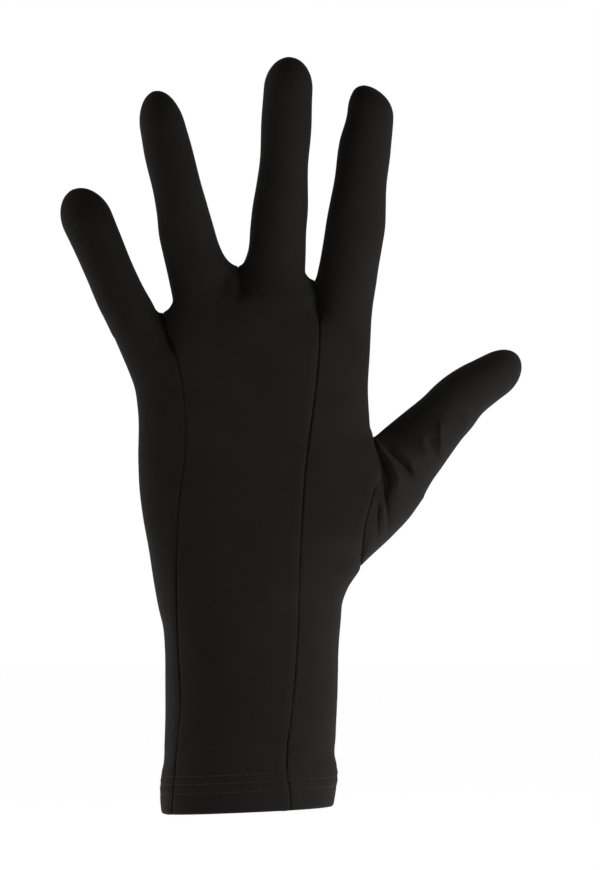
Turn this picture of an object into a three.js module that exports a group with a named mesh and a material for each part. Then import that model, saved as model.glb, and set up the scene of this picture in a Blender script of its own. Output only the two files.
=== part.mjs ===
// A knitted glove liner with a long cuff, in the shape it has when it is worn: five fingers spread, back of the hand
// towards -Y, palm towards +Y, fingertips up +Z, thumb towards +X. Millimetres. The origin is the centre of the
// wrist opening, at the hem's edge.
//
// The glove is sewn from a middle back panel (ring and middle fingers), two side back panels (little and index
// fingers), one palm panel for all four fingers, and a thumb piece set in between palm and index panel. A turned hem
// finishes the wrist opening. Every panel is a thin wall: an outer sheet, an inner sheet and the rim between them.
import * as THREE from "three";
import { mergeVertices } from "three/addons/utils/BufferGeometryUtils.js";

// Cloth and sewing
const CLOTH = 1.0; // thickness of the knitted cloth
const SEAM_GAP = 0.3; // clear width left between two panels along a seam
const HEM_HEIGHT = 14.5;
const HEM_LIP = 1.2; // height of the turned edge that the panels end on
const HEM_SLOPE = 0.045; // rise of the hem's edge towards the thumb, per millimetre across

// Hand
const PALM_LENGTH = 196.6; // hem's edge to the notch between ring and middle finger
const PALM_WIDTH = 84.5; // across the knuckles
const PALM_DEPTH = 30; // back to palm at the middle of the hand
const SECTION_ROUNDNESS = 2.3; // exponent of the hand's section: 2 is an ellipse, more is squarer
const THUMB_SET = 7; // how far the thumb lies in front of the hand's middle plane
const THUMB_WEB = 0.8; // how much flatter the thumb's root is beside the hand, 0 is as round as its outer side
const THUMB_FOOT = 0.08; // share of the thumb's seam that its hollow starts above the foot, for 1 mm of cloth
const THUMB_BALL = 1.1; // how much fuller the front of the thumb's root is than its back

const HALF_WIDTH = PALM_WIDTH / 2;

// Fingers: length from the root line to the tip, width and depth of the middle joint, lean away from +Z in the
// picture plane, and how far the tip bends towards the palm.
const LITTLE = { length: 55.4, width: 17.8, depth: 14.6, lean: -23.7, bend: 11, cap: 0.76 };
const RING = { length: 74.4, width: 17.6, depth: 15.6, lean: -12, bend: 9, cap: 0.815 };
const MIDDLE = { length: 78.8, width: 18.2, depth: 16.2, lean: 3.6, bend: 7, cap: 0.85 };
const INDEX = { length: 72.9, width: 19, depth: 16.2, lean: 6.7, bend: 6, cap: 0.86 };
const THUMB = { length: 60, width: 20.5, depth: 19, lean: 49.1, bend: 6, cap: 0.79 };

// Edges of a finger, left and right of its axis, and its depth. "along" is a share of the finger's length, "left"
// and "right" are shares of its width and "thick" is a share of its depth.
LITTLE.outline = [
  { along: 0, left: -0.57, right: 0.44, thick: 1.12 },
  { along: 0.1, left: -0.586, right: 0.428, thick: 1.08 },
  { along: 0.2, left: -0.606, right: 0.397, thick: 1.03 },
  { along: 0.4, left: -0.597, right: 0.383, thick: 1 },
  { along: 0.6, left: -0.608, right: 0.404, thick: 0.98 },
  { along: 0.8, left: -0.632, right: 0.43, thick: 0.95 },
  { along: 1, left: -0.66, right: 0.41, thick: 0.9 },
];
RING.outline = [
  { along: 0, left: -0.59, right: 0.85, thick: 1.12 },
  { along: 0.06, left: -0.59, right: 0.73, thick: 1.1 },
  { along: 0.1, left: -0.592, right: 0.665, thick: 1.08 },
  { along: 0.2, left: -0.603, right: 0.567, thick: 1.05 },
  { along: 0.3, left: -0.603, right: 0.536, thick: 1.03 },
  { along: 0.4, left: -0.556, right: 0.5, thick: 1.02 },
  { along: 0.5, left: -0.54, right: 0.459, thick: 1 },
  { along: 0.7, left: -0.572, right: 0.433, thick: 0.98 },
  { along: 0.85, left: -0.541, right: 0.395, thick: 0.95 },
  { along: 1, left: -0.53, right: 0.38, thick: 0.9 },
];
MIDDLE.outline = [
  { along: 0, left: -0.65, right: 0.61, thick: 1.12 },
  { along: 0.1, left: -0.555, right: 0.606, thick: 1.08 },
  { along: 0.2, left: -0.543, right: 0.595, thick: 1.05 },
  { along: 0.3, left: -0.52, right: 0.597, thick: 1.03 },
  { along: 0.4, left: -0.473, right: 0.568, thick: 1.02 },
  { along: 0.5, left: -0.439, right: 0.54, thick: 1 },
  { along: 0.7, left: -0.45, right: 0.556, thick: 0.98 },
  { along: 0.85, left: -0.438, right: 0.53, thick: 0.95 },
  { along: 1, left: -0.44, right: 0.53, thick: 0.9 },
];
INDEX.outline = [
  { along: 0, left: -0.53, right: 0.622, thick: 1.12 },
  { along: 0.1, left: -0.501, right: 0.628, thick: 1.08 },
  { along: 0.2, left: -0.487, right: 0.652, thick: 1.05 },
  { along: 0.3, left: -0.472, right: 0.665, thick: 1.03 },
  { along: 0.4, left: -0.444, right: 0.639, thick: 1.02 },
  { along: 0.5, left: -0.415, right: 0.61, thick: 1 },
  { along: 0.7, left: -0.404, right: 0.602, thick: 0.98 },
  { along: 0.88, left: -0.315, right: 0.58, thick: 0.95 },
  { along: 0.95, left: -0.37, right: 0.52, thick: 0.93 },
  { along: 1, left: -0.46, right: 0.44, thick: 0.9 },
];
THUMB.outline = [
  { along: 0, left: -0.675, right: 0.694, thick: 1.3 },
  { along: 0.1, left: -0.672, right: 0.593, thick: 1.22 },
  { along: 0.2, left: -0.663, right: 0.525, thick: 1.14 },
  { along: 0.3, left: -0.657, right: 0.447, thick: 1.08 },
  { along: 0.4, left: -0.652, right: 0.375, thick: 1.04 },
  { along: 0.5, left: -0.664, right: 0.33, thick: 1 },
  { along: 0.6, left: -0.652, right: 0.268, thick: 0.98 },
  { along: 0.7, left: -0.61, right: 0.272, thick: 0.95 },
  { along: 0.82, left: -0.525, right: 0.288, thick: 0.9 },
  { along: 1, left: -0.51, right: 0.29, thick: 0.84 },
];

// The five lines that run up the hand from the hem to the roots of the fingers. "up" is a share of the palm's
// length, "out" is a share of half its width, from the middle line towards the thumb.
const LITTLE_SIDE = [
  { up: 0, out: -0.737 },
  { up: 0.02, out: -0.748 },
  { up: 0.066, out: -0.745 },
  { up: 0.078, out: -0.738 },
  { up: 0.09, out: -0.725 },
  { up: 0.13, out: -0.715 },
  { up: 0.2, out: -0.708 },
  { up: 0.3, out: -0.708 },
  { up: 0.34, out: -0.725 },
  { up: 0.37, out: -0.757 },
  { up: 0.42, out: -0.8 },
  { up: 0.48, out: -0.846 },
  { up: 0.54, out: -0.901 },
  { up: 0.59, out: -0.93 },
  { up: 0.64, out: -0.94 },
  { up: 0.74, out: -0.943 },
  { up: 0.78, out: -0.972 },
  { up: 0.81, out: -1.022 },
  { up: 0.87, out: -1.138 },
];
const LITTLE_SEAM = [
  { up: 0, out: -0.648 },
  { up: 0.078, out: -0.62 },
  { up: 0.13, out: -0.6 },
  { up: 0.2, out: -0.571 },
  { up: 0.3, out: -0.592 },
  { up: 0.5, out: -0.6 },
  { up: 0.57, out: -0.584 },
  { up: 0.65, out: -0.54 },
  { up: 0.73, out: -0.537 },
  { up: 0.8, out: -0.571 },
  { up: 0.86, out: -0.638 },
  { up: 0.913, out: -0.72 },
];
const MIDDLE_LINE = [
  { up: 0, out: -0.09 },
  { up: 1, out: -0.082 },
];
const INDEX_SEAM = [
  { up: 0, out: 0.375 },
  { up: 0.045, out: 0.356 },
  { up: 0.075, out: 0.335 },
  { up: 0.11, out: 0.337 },
  { up: 0.165, out: 0.369 },
  { up: 0.25, out: 0.408 },
  { up: 0.35, out: 0.434 },
  { up: 0.45, out: 0.446 },
  { up: 0.55, out: 0.468 },
  { up: 0.65, out: 0.504 },
  { up: 0.75, out: 0.566 },
  { up: 0.83, out: 0.605 },
  { up: 0.89, out: 0.612 },
  { up: 0.94, out: 0.58 },
  { up: 0.98, out: 0.545 },
];
// "reach" is how far the hand's section goes on past this line, under the thumb piece, as a share of half the width.
const THUMB_SIDE = [
  { up: 0, out: 0.735, reach: 0 },
  { up: 0.02, out: 0.752, reach: 0 },
  { up: 0.066, out: 0.77, reach: 0 },
  { up: 0.078, out: 0.762, reach: 0 },
  { up: 0.09, out: 0.748, reach: 0 },
  { up: 0.13, out: 0.755, reach: 0 },
  { up: 0.2, out: 0.769, reach: 0 },
  { up: 0.3, out: 0.783, reach: 0 },
  { up: 0.35, out: 0.802, reach: 0 },
  { up: 0.385, out: 0.818, reach: 0 },
  { up: 0.41, out: 0.862, reach: 0 },
  { up: 0.45, out: 0.974, reach: 0 },
  { up: 0.465, out: 0.98, reach: 0.012 },
  { up: 0.48, out: 0.985, reach: 0.045 },
  { up: 0.5, out: 0.992, reach: 0.14 },
  { up: 0.52, out: 1.002, reach: 0.24 },
  { up: 0.565, out: 1.052, reach: 0.25 },
  { up: 0.6, out: 1.1, reach: 0.16 },
  { up: 0.625, out: 1.137, reach: 0.09 },
  { up: 0.645, out: 1.133, reach: 0.06 },
  { up: 0.67, out: 1.105, reach: 0.03 },
  { up: 0.688, out: 1.082, reach: 0 },
  { up: 0.704, out: 1.058, reach: 0 },
  { up: 0.73, out: 1.045, reach: 0 },
  { up: 0.77, out: 1.032, reach: 0 },
  { up: 0.83, out: 1.044, reach: 0 },
  { up: 0.91, out: 1.066, reach: 0 },
  { up: 0.961, out: 1.098, reach: 0 },
];
const LINES = [LITTLE_SIDE, LITTLE_SEAM, MIDDLE_LINE, INDEX_SEAM, THUMB_SIDE];

// Depth of the hand behind (back) and before (front) its middle plane, and the place of that plane, as shares of
// the palm's depth.
const PALM_SECTIONS = [
  { up: 0, back: 0.77, front: 0.77, plane: 0 },
  { up: 0.15, back: 0.74, front: 0.74, plane: 0 },
  { up: 0.3, back: 0.69, front: 0.7, plane: 0 },
  { up: 0.38, back: 0.66, front: 0.7, plane: -0.01 },
  { up: 0.47, back: 0.6, front: 0.7, plane: -0.03 },
  { up: 0.57, back: 0.53, front: 0.66, plane: -0.05 },
  { up: 0.67, back: 0.48, front: 0.59, plane: -0.06 },
  { up: 0.78, back: 0.44, front: 0.52, plane: -0.06 },
  { up: 0.88, back: 0.4, front: 0.46, plane: -0.05 },
  { up: 1, back: 0.36, front: 0.4, plane: -0.03 },
];

// Soft swellings and hollows of the palm's front: the ball of the thumb, the heel under the little finger, the pads
// below the fingers and the hollow between them. "rise" is a share of the depth there.
const PALM_SWELLINGS = [
  { out: 0.62, up: 0.5, wide: 0.42, tall: 0.13, rise: 0.16 },
  { out: -0.5, up: 0.52, wide: 0.34, tall: 0.17, rise: 0.1 },
  { out: 0.05, up: 0.66, wide: 0.34, tall: 0.12, rise: -0.16 },
  { out: 0, up: 0.86, wide: 0.8, tall: 0.05, rise: 0.07 },
];

// The free lower edge of the thumb piece, from the foot of its seam to the thumb's root.
const THUMB_HEEL = [
  { along: 0, out: 0.974, up: 0.45 },
  { along: 0.25, out: 1.12, up: 0.48 },
  { along: 0.5, out: 1.25, up: 0.507 },
  { along: 0.75, out: 1.388, up: 0.537 },
  { along: 1, out: 1.51, up: 0.5756 },
];

// Folds on the back of the thumb piece: from and to are (out, up) shares, wide and lift are shares of the thumb's
// width.
const THUMB_FOLDS = [
  { from: [1.165, 0.598], to: [1.205, 0.502], wide: 0.085, lift: 0.063 },
  { from: [1.24, 0.572], to: [1.235, 0.49], wide: 0.11, lift: -0.078 },
  { from: [1.135, 0.56], to: [1.13, 0.508], wide: 0.11, lift: -0.05 },
  { from: [1.2, 0.657], to: [1.4, 0.615], wide: 0.1, lift: 0.054 },
  { from: [1.2, 0.645], to: [1.27, 0.595], wide: 0.12, lift: -0.068 },
  { from: [1.24, 0.672], to: [1.46, 0.633], wide: 0.11, lift: -0.06 },
  { from: [1.53, 0.685], to: [1.64, 0.642], wide: 0.11, lift: 0.044 },
  { from: [1.62, 0.71], to: [1.66, 0.655], wide: 0.1, lift: -0.044 },
];

const SEAM_FOOT = 0.45; // "up" where the thumb's seam starts, and below which the hand's rows lie level
const THUMB_NOTCH = 0.688; // "up" of the notch between thumb and index finger
const VALLEY = 0.86; // share of a row's way up the hand where the hollows between the fingers begin
const FAN = 0.2; // share of a finger over which its rows turn from the root line to square across
const NOTCH_ROUNDNESS = 12; // how sharply a finger's edges turn out into the notches beside it
const FOLD_END = 0.25; // share of a fold's length over which it dies out at each end
const OPEN_REACH = 0.1; // reach past the thumb's side above which the hand's section is cut open there
const SLOPE_END = 0.35; // "up" where the slope of the hem's edge has faded out
const SLOPE_START = 0.1; // "up" where it starts to fade

// Rows of the mesh: shares of the way up the hand, and of the way along a finger. A cap's rows are quarter turns.
const HAND_ROWS = [0.035, 0.066, 0.078, 0.09, 0.15, 0.22, 0.3, 0.36, 0.41, SEAM_FOOT];
const THUMB_ROWS = [0.06, 0.13, 0.22, 0.34, 0.48, 0.63, 0.76, 0.88, 1];
const KNUCKLE_ROWS = [0.78, 0.83, 0.88, 0.925, 0.96, 0.985, 1];
const FINGER_ROWS = [0.02, 0.05, 0.09, 0.14, 0.2, 0.29, 0.39, 0.5, 0.62, 0.73];
const THUMB_TUBE_ROWS = [0.025, 0.06, 0.1, 0.14, 0.19, 0.25, 0.32, 0.4, 0.49, 0.59, 0.7];
const CAP_STEPS = 4;
const COLUMNS = 6;
const THUMB_COLUMNS = 11;
const HEM_STEPS = 48;

const BACK = -1;
const FRONT = 1;

const mix = (a, b, share) => a + (b - a) * share;
const clamp = (value) => Math.min(1, Math.max(0, value));
const ease = (share) => clamp(share) ** 2 * (3 - 2 * clamp(share));

// A smooth curve through one column of a table, at a value of its key column.
function through(rows, key, column, at) {
  const last = rows.length - 1;
  if (at <= rows[0][key]) return rows[0][column];
  if (at >= rows[last][key]) return rows[last][column];
  let i = 0;
  while (at > rows[i + 1][key]) i++;
  const width = (k) => rows[k + 1][key] - rows[k][key];
  const rise = (k) => (rows[k + 1][column] - rows[k][column]) / width(k);
  const slope = (k) => {
    if (k === 0) return rise(0);
    if (k === last) return rise(last - 1);
    return mix(rise(k - 1), rise(k), width(k - 1) / (width(k - 1) + width(k)));
  };
  const h = width(i);
  const u = (at - rows[i][key]) / h;
  return (
    rows[i][column] * (1 + 2 * u) * (1 - u) ** 2 +
    slope(i) * h * u * (1 - u) ** 2 +
    rows[i + 1][column] * u * u * (3 - 2 * u) +
    slope(i + 1) * h * u * u * (u - 1)
  );
}

// Height above the hem's edge of a place on the hand: the hem slopes, and the slope fades out above the cuff.
const lift = (x, up) =>
  up * PALM_LENGTH + HEM_SLOPE * x * (1 - ease((up - SLOPE_START) / (SLOPE_END - SLOPE_START)));

// Share of the palm's length reached by line number "line" at a share of the way up the hand.
function upOf(line, way) {
  const top = LINES[line].at(-1).up;
  return way <= SEAM_FOOT ? way : mix(SEAM_FOOT, top, (way - SEAM_FOOT) / (1 - SEAM_FOOT));
}

// Share of the way up the hand where the thumb side's line reaches the notch between thumb and index finger.
const NOTCH_WAY = mix(
  SEAM_FOOT,
  1,
  (THUMB_NOTCH - SEAM_FOOT) / (THUMB_SIDE.at(-1).up - SEAM_FOOT),
);

// 1 along a silhouette, where the cloth turns round the hand's edge, and 0 along the seam of the thumb piece.
const closed = (up) => 1 - ease(through(THUMB_SIDE, "up", "reach", up) / OPEN_REACH);

// How much of the valley between two fingers there is at a share of the way up the hand.
const valley = (way) => clamp((way - VALLEY) / (1 - VALLEY)) ** 2;

// A point of a line up the hand, as x and up. The inner sheet lies one cloth thickness inside the silhouettes and
// below the notches.
function linePoint(line, way, inset) {
  const up = upOf(line, way);
  let x = HALF_WIDTH * through(LINES[line], "up", "out", up);
  if (line === 0) x += inset;
  if (line === LINES.length - 1) x -= inset * closed(up);
  return { x, up: up - (inset / PALM_LENGTH) * valley(way) };
}

// Half depth of the hand's section at a place, behind or before its middle plane.
function handDepth(side, x, up, inset) {
  const left = HALF_WIDTH * through(LITTLE_SIDE, "up", "out", up) + inset;
  const reach = through(THUMB_SIDE, "up", "out", up) + through(THUMB_SIDE, "up", "reach", up);
  const right = HALF_WIDTH * reach - inset;
  const share = clamp(Math.abs((2 * x - left - right) / (right - left)));
  const full = PALM_DEPTH * through(PALM_SECTIONS, "up", side === BACK ? "back" : "front", up) - inset;
  let swell = 1;
  if (side === FRONT)
    for (const s of PALM_SWELLINGS) {
      const sideways = (x / HALF_WIDTH - s.out) / s.wide;
      const upwards = (up - s.up) / s.tall;
      swell += s.rise * Math.exp(-sideways * sideways - upwards * upwards);
    }
  return full * swell * (1 - share ** SECTION_ROUNDNESS) ** (1 / SECTION_ROUNDNESS);
}

const handPlane = (up) => PALM_DEPTH * through(PALM_SECTIONS, "up", "plane", up);

// Places across a row from -1 to 1. Points crowd towards a silhouette, where the cloth curves away.
function across(i, columns, leftEdge, rightEdge) {
  const share = i / columns;
  const even = 2 * share - 1;
  const both = -Math.cos(Math.PI * share);
  const left = 1 - 2 * Math.cos((Math.PI * share) / 2);
  const right = -1 + 2 * Math.sin((Math.PI * share) / 2);
  return (
    even * (1 - leftEdge) * (1 - rightEdge) +
    left * leftEdge * (1 - rightEdge) +
    right * rightEdge * (1 - leftEdge) +
    both * leftEdge * rightEdge
  );
}

// One row of a finger's sheet: its two edge points in the picture plane, turning from the root line between the
// notches to square across the finger, and drawn in to a round cap at the tip.
function fingerRow(finger, root, along, inset) {
  const lean = THREE.MathUtils.degToRad(finger.lean);
  const axis = new THREE.Vector2(Math.sin(lean), Math.cos(lean));
  const square = new THREE.Vector2(Math.cos(lean), -Math.sin(lean));
  const centre = root.centre.clone().addScaledVector(axis, along * finger.length - inset);
  const start = root.centre.clone().addScaledVector(axis, -inset);
  const turn = clamp(along / FAN);
  const turned = turn * (2 - turn);
  const narrowed = 1 - (1 - turn) ** NOTCH_ROUNDNESS;
  const capShare = clamp((along - finger.cap) / (1 - finger.cap));
  const round = Math.sqrt(1 - capShare * capShare);
  const left = through(finger.outline, "along", "left", along) * finger.width;
  const right = through(finger.outline, "along", "right", along) * finger.width;
  const middle = (left + right) / 2;
  const half = Math.max(0, (right - left) / 2 - inset) * round;
  const edge = (corner, offset) => {
    const from = corner.clone().sub(start);
    return centre
      .clone()
      .addScaledVector(square, mix(from.dot(square), offset, narrowed))
      .addScaledVector(axis, from.dot(axis) * (1 - turned));
  };
  return {
    left: edge(root.left, middle - half),
    right: edge(root.right, middle + half),
    depth: ((finger.depth * through(finger.outline, "along", "thick", along)) / 2 - inset) * round,
    turned,
    bend: finger.bend * along * along,
  };
}

const fingerWays = (rows, cap) => [
  ...rows,
  ...Array.from({ length: CAP_STEPS + 1 }, (_, i) => mix(cap, 1, Math.sin((i / CAP_STEPS) * (Math.PI / 2)))),
];

// Rows of points of one finger's half of the hand, from the wrist to the fingertip.
function handSheet({ finger, line, side, inset, seams }) {
  const bottom = (HEM_LIP + SEAM_GAP) / PALM_LENGTH;
  const thumbWays = THUMB_ROWS.map((share) => mix(SEAM_FOOT, NOTCH_WAY, share));
  const ways = [bottom, ...HAND_ROWS, ...thumbWays, ...KNUCKLE_ROWS.filter((way) => way > NOTCH_WAY + 0.01)];
  const halfGap = SEAM_GAP / 2;
  const edges = (way) => {
    const a = linePoint(line, way, inset);
    const b = linePoint(line + 1, way, inset);
    if (seams.left) a.x += halfGap;
    if (seams.right) b.x -= halfGap;
    return [a, b];
  };
  const onLeft = line === 0 ? 1 : 0;
  const onRight = line === LINES.length - 2 ? 1 : 0;
  const rows = ways.map((way) => {
    const [a, b] = edges(way);
    const w = valley(way);
    const rootDepth = (finger.depth * finger.outline[0].thick) / 2 - inset;
    return Array.from({ length: COLUMNS + 1 }, (_, i) => {
      const place = across(i, COLUMNS, Math.max(onLeft, w), Math.max(onRight, w));
      const share = (place + 1) / 2;
      const x = mix(a.x, b.x, share);
      const up = mix(a.up, b.up, share);
      const squared = mix(handDepth(side, x, up, inset) ** 2, rootDepth ** 2 * (1 - place * place), w);
      const y = handPlane(up) + side * (Math.sqrt(Math.max(0, squared)) + halfGap);
      return new THREE.Vector3(x, y, lift(x, up));
    });
  });
  const outer = { left: linePoint(line, 1, 0), right: linePoint(line + 1, 1, 0) };
  const flat = (p) => new THREE.Vector2(p.x, p.up * PALM_LENGTH);
  const [a, b] = edges(1);
  const root = {
    left: flat(a),
    right: flat(b),
    centre: flat(outer.left).add(flat(outer.right)).multiplyScalar(0.5),
  };
  for (const along of fingerWays(FINGER_ROWS, finger.cap)) {
    const row = fingerRow(finger, root, along, inset);
    rows.push(
      Array.from({ length: COLUMNS + 1 }, (_, i) => {
        const place = across(i, COLUMNS, 1, 1);
        const share = (place + 1) / 2;
        const p = row.left.clone().lerp(row.right, share);
        const plane = handPlane(mix(a.up, b.up, share)) * (1 - row.turned) + handPlane(1) * row.turned;
        const height = row.depth * Math.sqrt(Math.max(0, 1 - place * place));
        return new THREE.Vector3(p.x, plane + row.bend + side * (height + halfGap), p.y);
      }),
    );
  }
  return rows;
}

// Lift of the folds at a place in the picture plane: each is a rounded ridge or furrow that dies out at its ends.
function foldLift(x, z) {
  let sum = 0;
  for (const fold of THUMB_FOLDS) {
    const from = new THREE.Vector2(fold.from[0] * HALF_WIDTH, fold.from[1] * PALM_LENGTH);
    const run = new THREE.Vector2(fold.to[0] * HALF_WIDTH, fold.to[1] * PALM_LENGTH).sub(from);
    const rel = new THREE.Vector2(x, z).sub(from);
    const share = rel.dot(run) / run.lengthSq();
    const off = Math.abs(rel.cross(run)) / run.length() / (fold.wide * THUMB.width);
    const ends = ease(share / FOLD_END + 0.5) * ease((1 - share) / FOLD_END + 0.5);
    sum += fold.lift * THUMB.width * Math.exp(-off * off) * ends;
  }
  return sum;
}

// Rows of points of the thumb piece's half, from the foot of its seam to the thumb's tip.
function thumbSheet(side, inset) {
  const wayOf = (share) => mix(SEAM_FOOT, NOTCH_WAY, share);
  const seamPoint = (share, inward) => {
    const p = linePoint(LINES.length - 1, wayOf(share), 0);
    p.depth = handDepth(side, p.x - inward * closed(p.up), p.up, inward);
    return { ...p, x: p.x + SEAM_GAP + inward * closed(p.up), z: lift(p.x, p.up) };
  };
  const heelPoint = (share, inward, seamX) => {
    const x = HALF_WIDTH * through(THUMB_HEEL, "along", "out", share) + SEAM_GAP;
    const z = PALM_LENGTH * through(THUMB_HEEL, "along", "up", share);
    const drawn = Math.min(inward, Math.max(0, (x - seamX) / 2));
    return { x: x - drawn * Math.SQRT1_2, z: z + drawn * Math.SQRT1_2 };
  };
  const web = (place, strength) => 1 - THUMB_WEB * strength * ((1 - place) / 2) ** 2;
  const point = (x, z, plane, height) => {
    const fold = side === BACK ? foldLift(x, z) * clamp((height - CLOTH) / 3) : 0;
    return new THREE.Vector3(x, plane + side * (height + fold), z);
  };
  const rootHeight = ((THUMB.depth * THUMB.outline[0].thick) / 2) * (side === BACK ? 1 : THUMB_BALL) - inset;
  const rows = [0, ...THUMB_ROWS].map((row) => {
    const share = mix(THUMB_FOOT * inset, 1, row);
    const a = seamPoint(share, inset);
    const b = heelPoint(share, inset, a.x);
    const foot = point((a.x + b.x) / 2, (a.z + b.z) / 2, handPlane(a.up), 0);
    if (row === 0) return Array(THUMB_COLUMNS + 1).fill(foot);
    return Array.from({ length: THUMB_COLUMNS + 1 }, (_, i) => {
      const place = across(i, THUMB_COLUMNS, ease(share), 1);
      const part = (place + 1) / 2;
      const bulge = Math.max(0, rootHeight) ** 2 * share * (1 - place * place) * web(place, 1);
      const height = Math.sqrt(Math.max(0, a.depth ** 2 * (1 - part) + bulge));
      const plane = handPlane(a.up) + THUMB_SET * share * ease(part);
      return point(mix(a.x, b.x, part), mix(a.z, b.z, part), plane, height);
    });
  });
  const corner = (p) => new THREE.Vector2(p.x, p.z);
  const seamTop = seamPoint(1, 0);
  const root = {
    left: corner(seamPoint(1, inset)),
    right: corner(heelPoint(1, inset, seamPoint(1, inset).x)),
    centre: corner(seamTop).add(corner(heelPoint(1, 0, seamTop.x))).multiplyScalar(0.5),
  };
  for (const along of fingerWays(THUMB_TUBE_ROWS, THUMB.cap)) {
    const row = fingerRow(THUMB, root, along, inset);
    rows.push(
      Array.from({ length: THUMB_COLUMNS + 1 }, (_, i) => {
        const place = across(i, THUMB_COLUMNS, 1, 1);
        const part = (place + 1) / 2;
        const p = row.left.clone().lerp(row.right, part);
        const fullness = side === BACK ? 1 : mix(THUMB_BALL, 1, ease(along * 2));
        const flatter = web(place, 1 - ease(along * 2));
        const height = row.depth * fullness * Math.sqrt(Math.max(0, (1 - place * place) * flatter));
        const set = THUMB_SET * mix(ease(part), 1, row.turned);
        return point(p.x, p.y, handPlane(seamTop.up) + set + row.bend, height);
      }),
    );
  }
  return rows;
}

// Gathers the faces of sheets whose outer and inner rows match, closes the rim between them, and returns a solid.
class Wall {
  constructor() {
    this.outer = [];
    this.inner = [];
    this.ids = new Map();
    this.faces = [];
  }

  id(outer, inner) {
    const key = [...outer, ...inner].map((v) => Math.round(v * 500)).join();
    if (!this.ids.has(key)) {
      this.ids.set(key, this.outer.length);
      this.outer.push(outer);
      this.inner.push(inner);
    }
    return this.ids.get(key);
  }

  add(outerRows, innerRows, side) {
    const ids = outerRows.map((row, j) => row.map((p, i) => this.id(p, innerRows[j][i])));
    for (let j = 0; j + 1 < ids.length; j++)
      for (let i = 0; i + 1 < ids[j].length; i++) {
        const [a, b, c, d] = [ids[j][i], ids[j][i + 1], ids[j + 1][i + 1], ids[j + 1][i]];
        const left = 2 * i < ids[j].length - 1;
        const halves = left ? [[a, b, c], [a, c, d]] : [[a, b, d], [b, c, d]];
        for (const face of halves) {
          if (new Set(face).size < 3) continue;
          this.faces.push(side === BACK ? face : face.toReversed());
        }
      }
    return this;
  }

  geometry() {
    const count = this.outer.length;
    const index = [];
    const edges = new Set(this.faces.flatMap(([a, b, c]) => [`${a},${b}`, `${b},${c}`, `${c},${a}`]));
    for (const [a, b, c] of this.faces) index.push(a, b, c, count + c, count + b, count + a);
    for (const edge of edges) {
      const [a, b] = edge.split(",").map(Number);
      if (!edges.has(`${b},${a}`)) index.push(b, a, count + a, b, count + a, count + b);
    }
    const points = [...this.outer, ...this.inner].flatMap((p) => [p.x, p.y, p.z]);
    const geometry = new THREE.BufferGeometry();
    geometry.setAttribute("position", new THREE.Float32BufferAttribute(points, 3));
    geometry.setIndex(index);
    const merged = mergeVertices(geometry, 1e-3);
    const kept = [];
    for (let i = 0; i < merged.index.count; i += 3) {
      const face = [0, 1, 2].map((k) => merged.index.getX(i + k));
      if (new Set(face).size === 3) kept.push(...face);
    }
    merged.setIndex(kept);
    merged.computeVertexNormals();
    return merged;
  }
}

// A panel: one wall from the half sheets of neighbouring fingers.
function panel(side, parts) {
  const wall = new Wall();
  for (const part of parts) {
    const sheet = (inset) => handSheet({ ...part, side, inset });
    wall.add(sheet(0), sheet(CLOTH), side);
  }
  return wall.geometry();
}

function thumbPiece() {
  const wall = new Wall();
  for (const side of [BACK, FRONT]) wall.add(thumbSheet(side, 0), thumbSheet(side, CLOTH), side);
  return wall.geometry();
}

// The turned hem: a band inside the panels with a lip under their lower edge, swept round the cuff's section. Its
// profile is a list of (inset from the outside, height) points.
function hemBand() {
  const band = CLOTH + SEAM_GAP;
  const inside = band + CLOTH;
  const round = CLOTH / 2;
  const corner = round * (1 - Math.SQRT1_2);
  const profile = [
    [0, round],
    [corner, corner],
    [round, 0],
    [inside - round, 0],
    [inside - corner, corner],
    [inside, round],
    [inside, HEM_HEIGHT],
    [band, HEM_HEIGHT],
    [band, HEM_LIP],
    [0, HEM_LIP],
  ];
  const ring = (turn) =>
    profile.map(([inset, height]) => {
      const up = height / PALM_LENGTH;
      const left = HALF_WIDTH * through(LITTLE_SIDE, "up", "out", up) + inset;
      const right = HALF_WIDTH * through(THUMB_SIDE, "up", "out", up) - inset;
      const side = Math.sin(turn) < 0 ? BACK : FRONT;
      const depth = PALM_DEPTH * through(PALM_SECTIONS, "up", side === BACK ? "back" : "front", up) - inset;
      const power = 2 / SECTION_ROUNDNESS;
      const cos = Math.sign(Math.cos(turn)) * Math.abs(Math.cos(turn)) ** power;
      const sin = Math.abs(Math.sin(turn)) ** power;
      const x = (left + right) / 2 + (cos * (right - left)) / 2;
      return [x, side * depth * sin, lift(x, up)];
    });
  const points = [];
  const index = [];
  const n = profile.length;
  for (let k = 0; k < HEM_STEPS; k++) {
    points.push(...ring((k / HEM_STEPS) * 2 * Math.PI).flat());
    for (let i = 0; i < n; i++) {
      const [a, b] = [k * n + i, k * n + ((i + 1) % n)];
      const [c, d] = [((k + 1) % HEM_STEPS) * n + ((i + 1) % n), ((k + 1) % HEM_STEPS) * n + i];
      index.push(a, b, c, a, c, d);
    }
  }
  const geometry = new THREE.BufferGeometry();
  geometry.setAttribute("position", new THREE.Float32BufferAttribute(points, 3));
  geometry.setIndex(index);
  geometry.computeVertexNormals();
  return geometry;
}

const knit = new THREE.MeshStandardMaterial({ color: 0x1b1b1b, roughness: 0.9, metalness: 0 });

function add(group, name, geometry) {
  const mesh = new THREE.Mesh(geometry, knit.clone());
  mesh.name = name;
  group.add(mesh);
}

const glove = new THREE.Group();
const little = { finger: LITTLE, line: 0 };
const ring = { finger: RING, line: 1 };
const middle = { finger: MIDDLE, line: 2 };
const index = { finger: INDEX, line: 3 };

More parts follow.
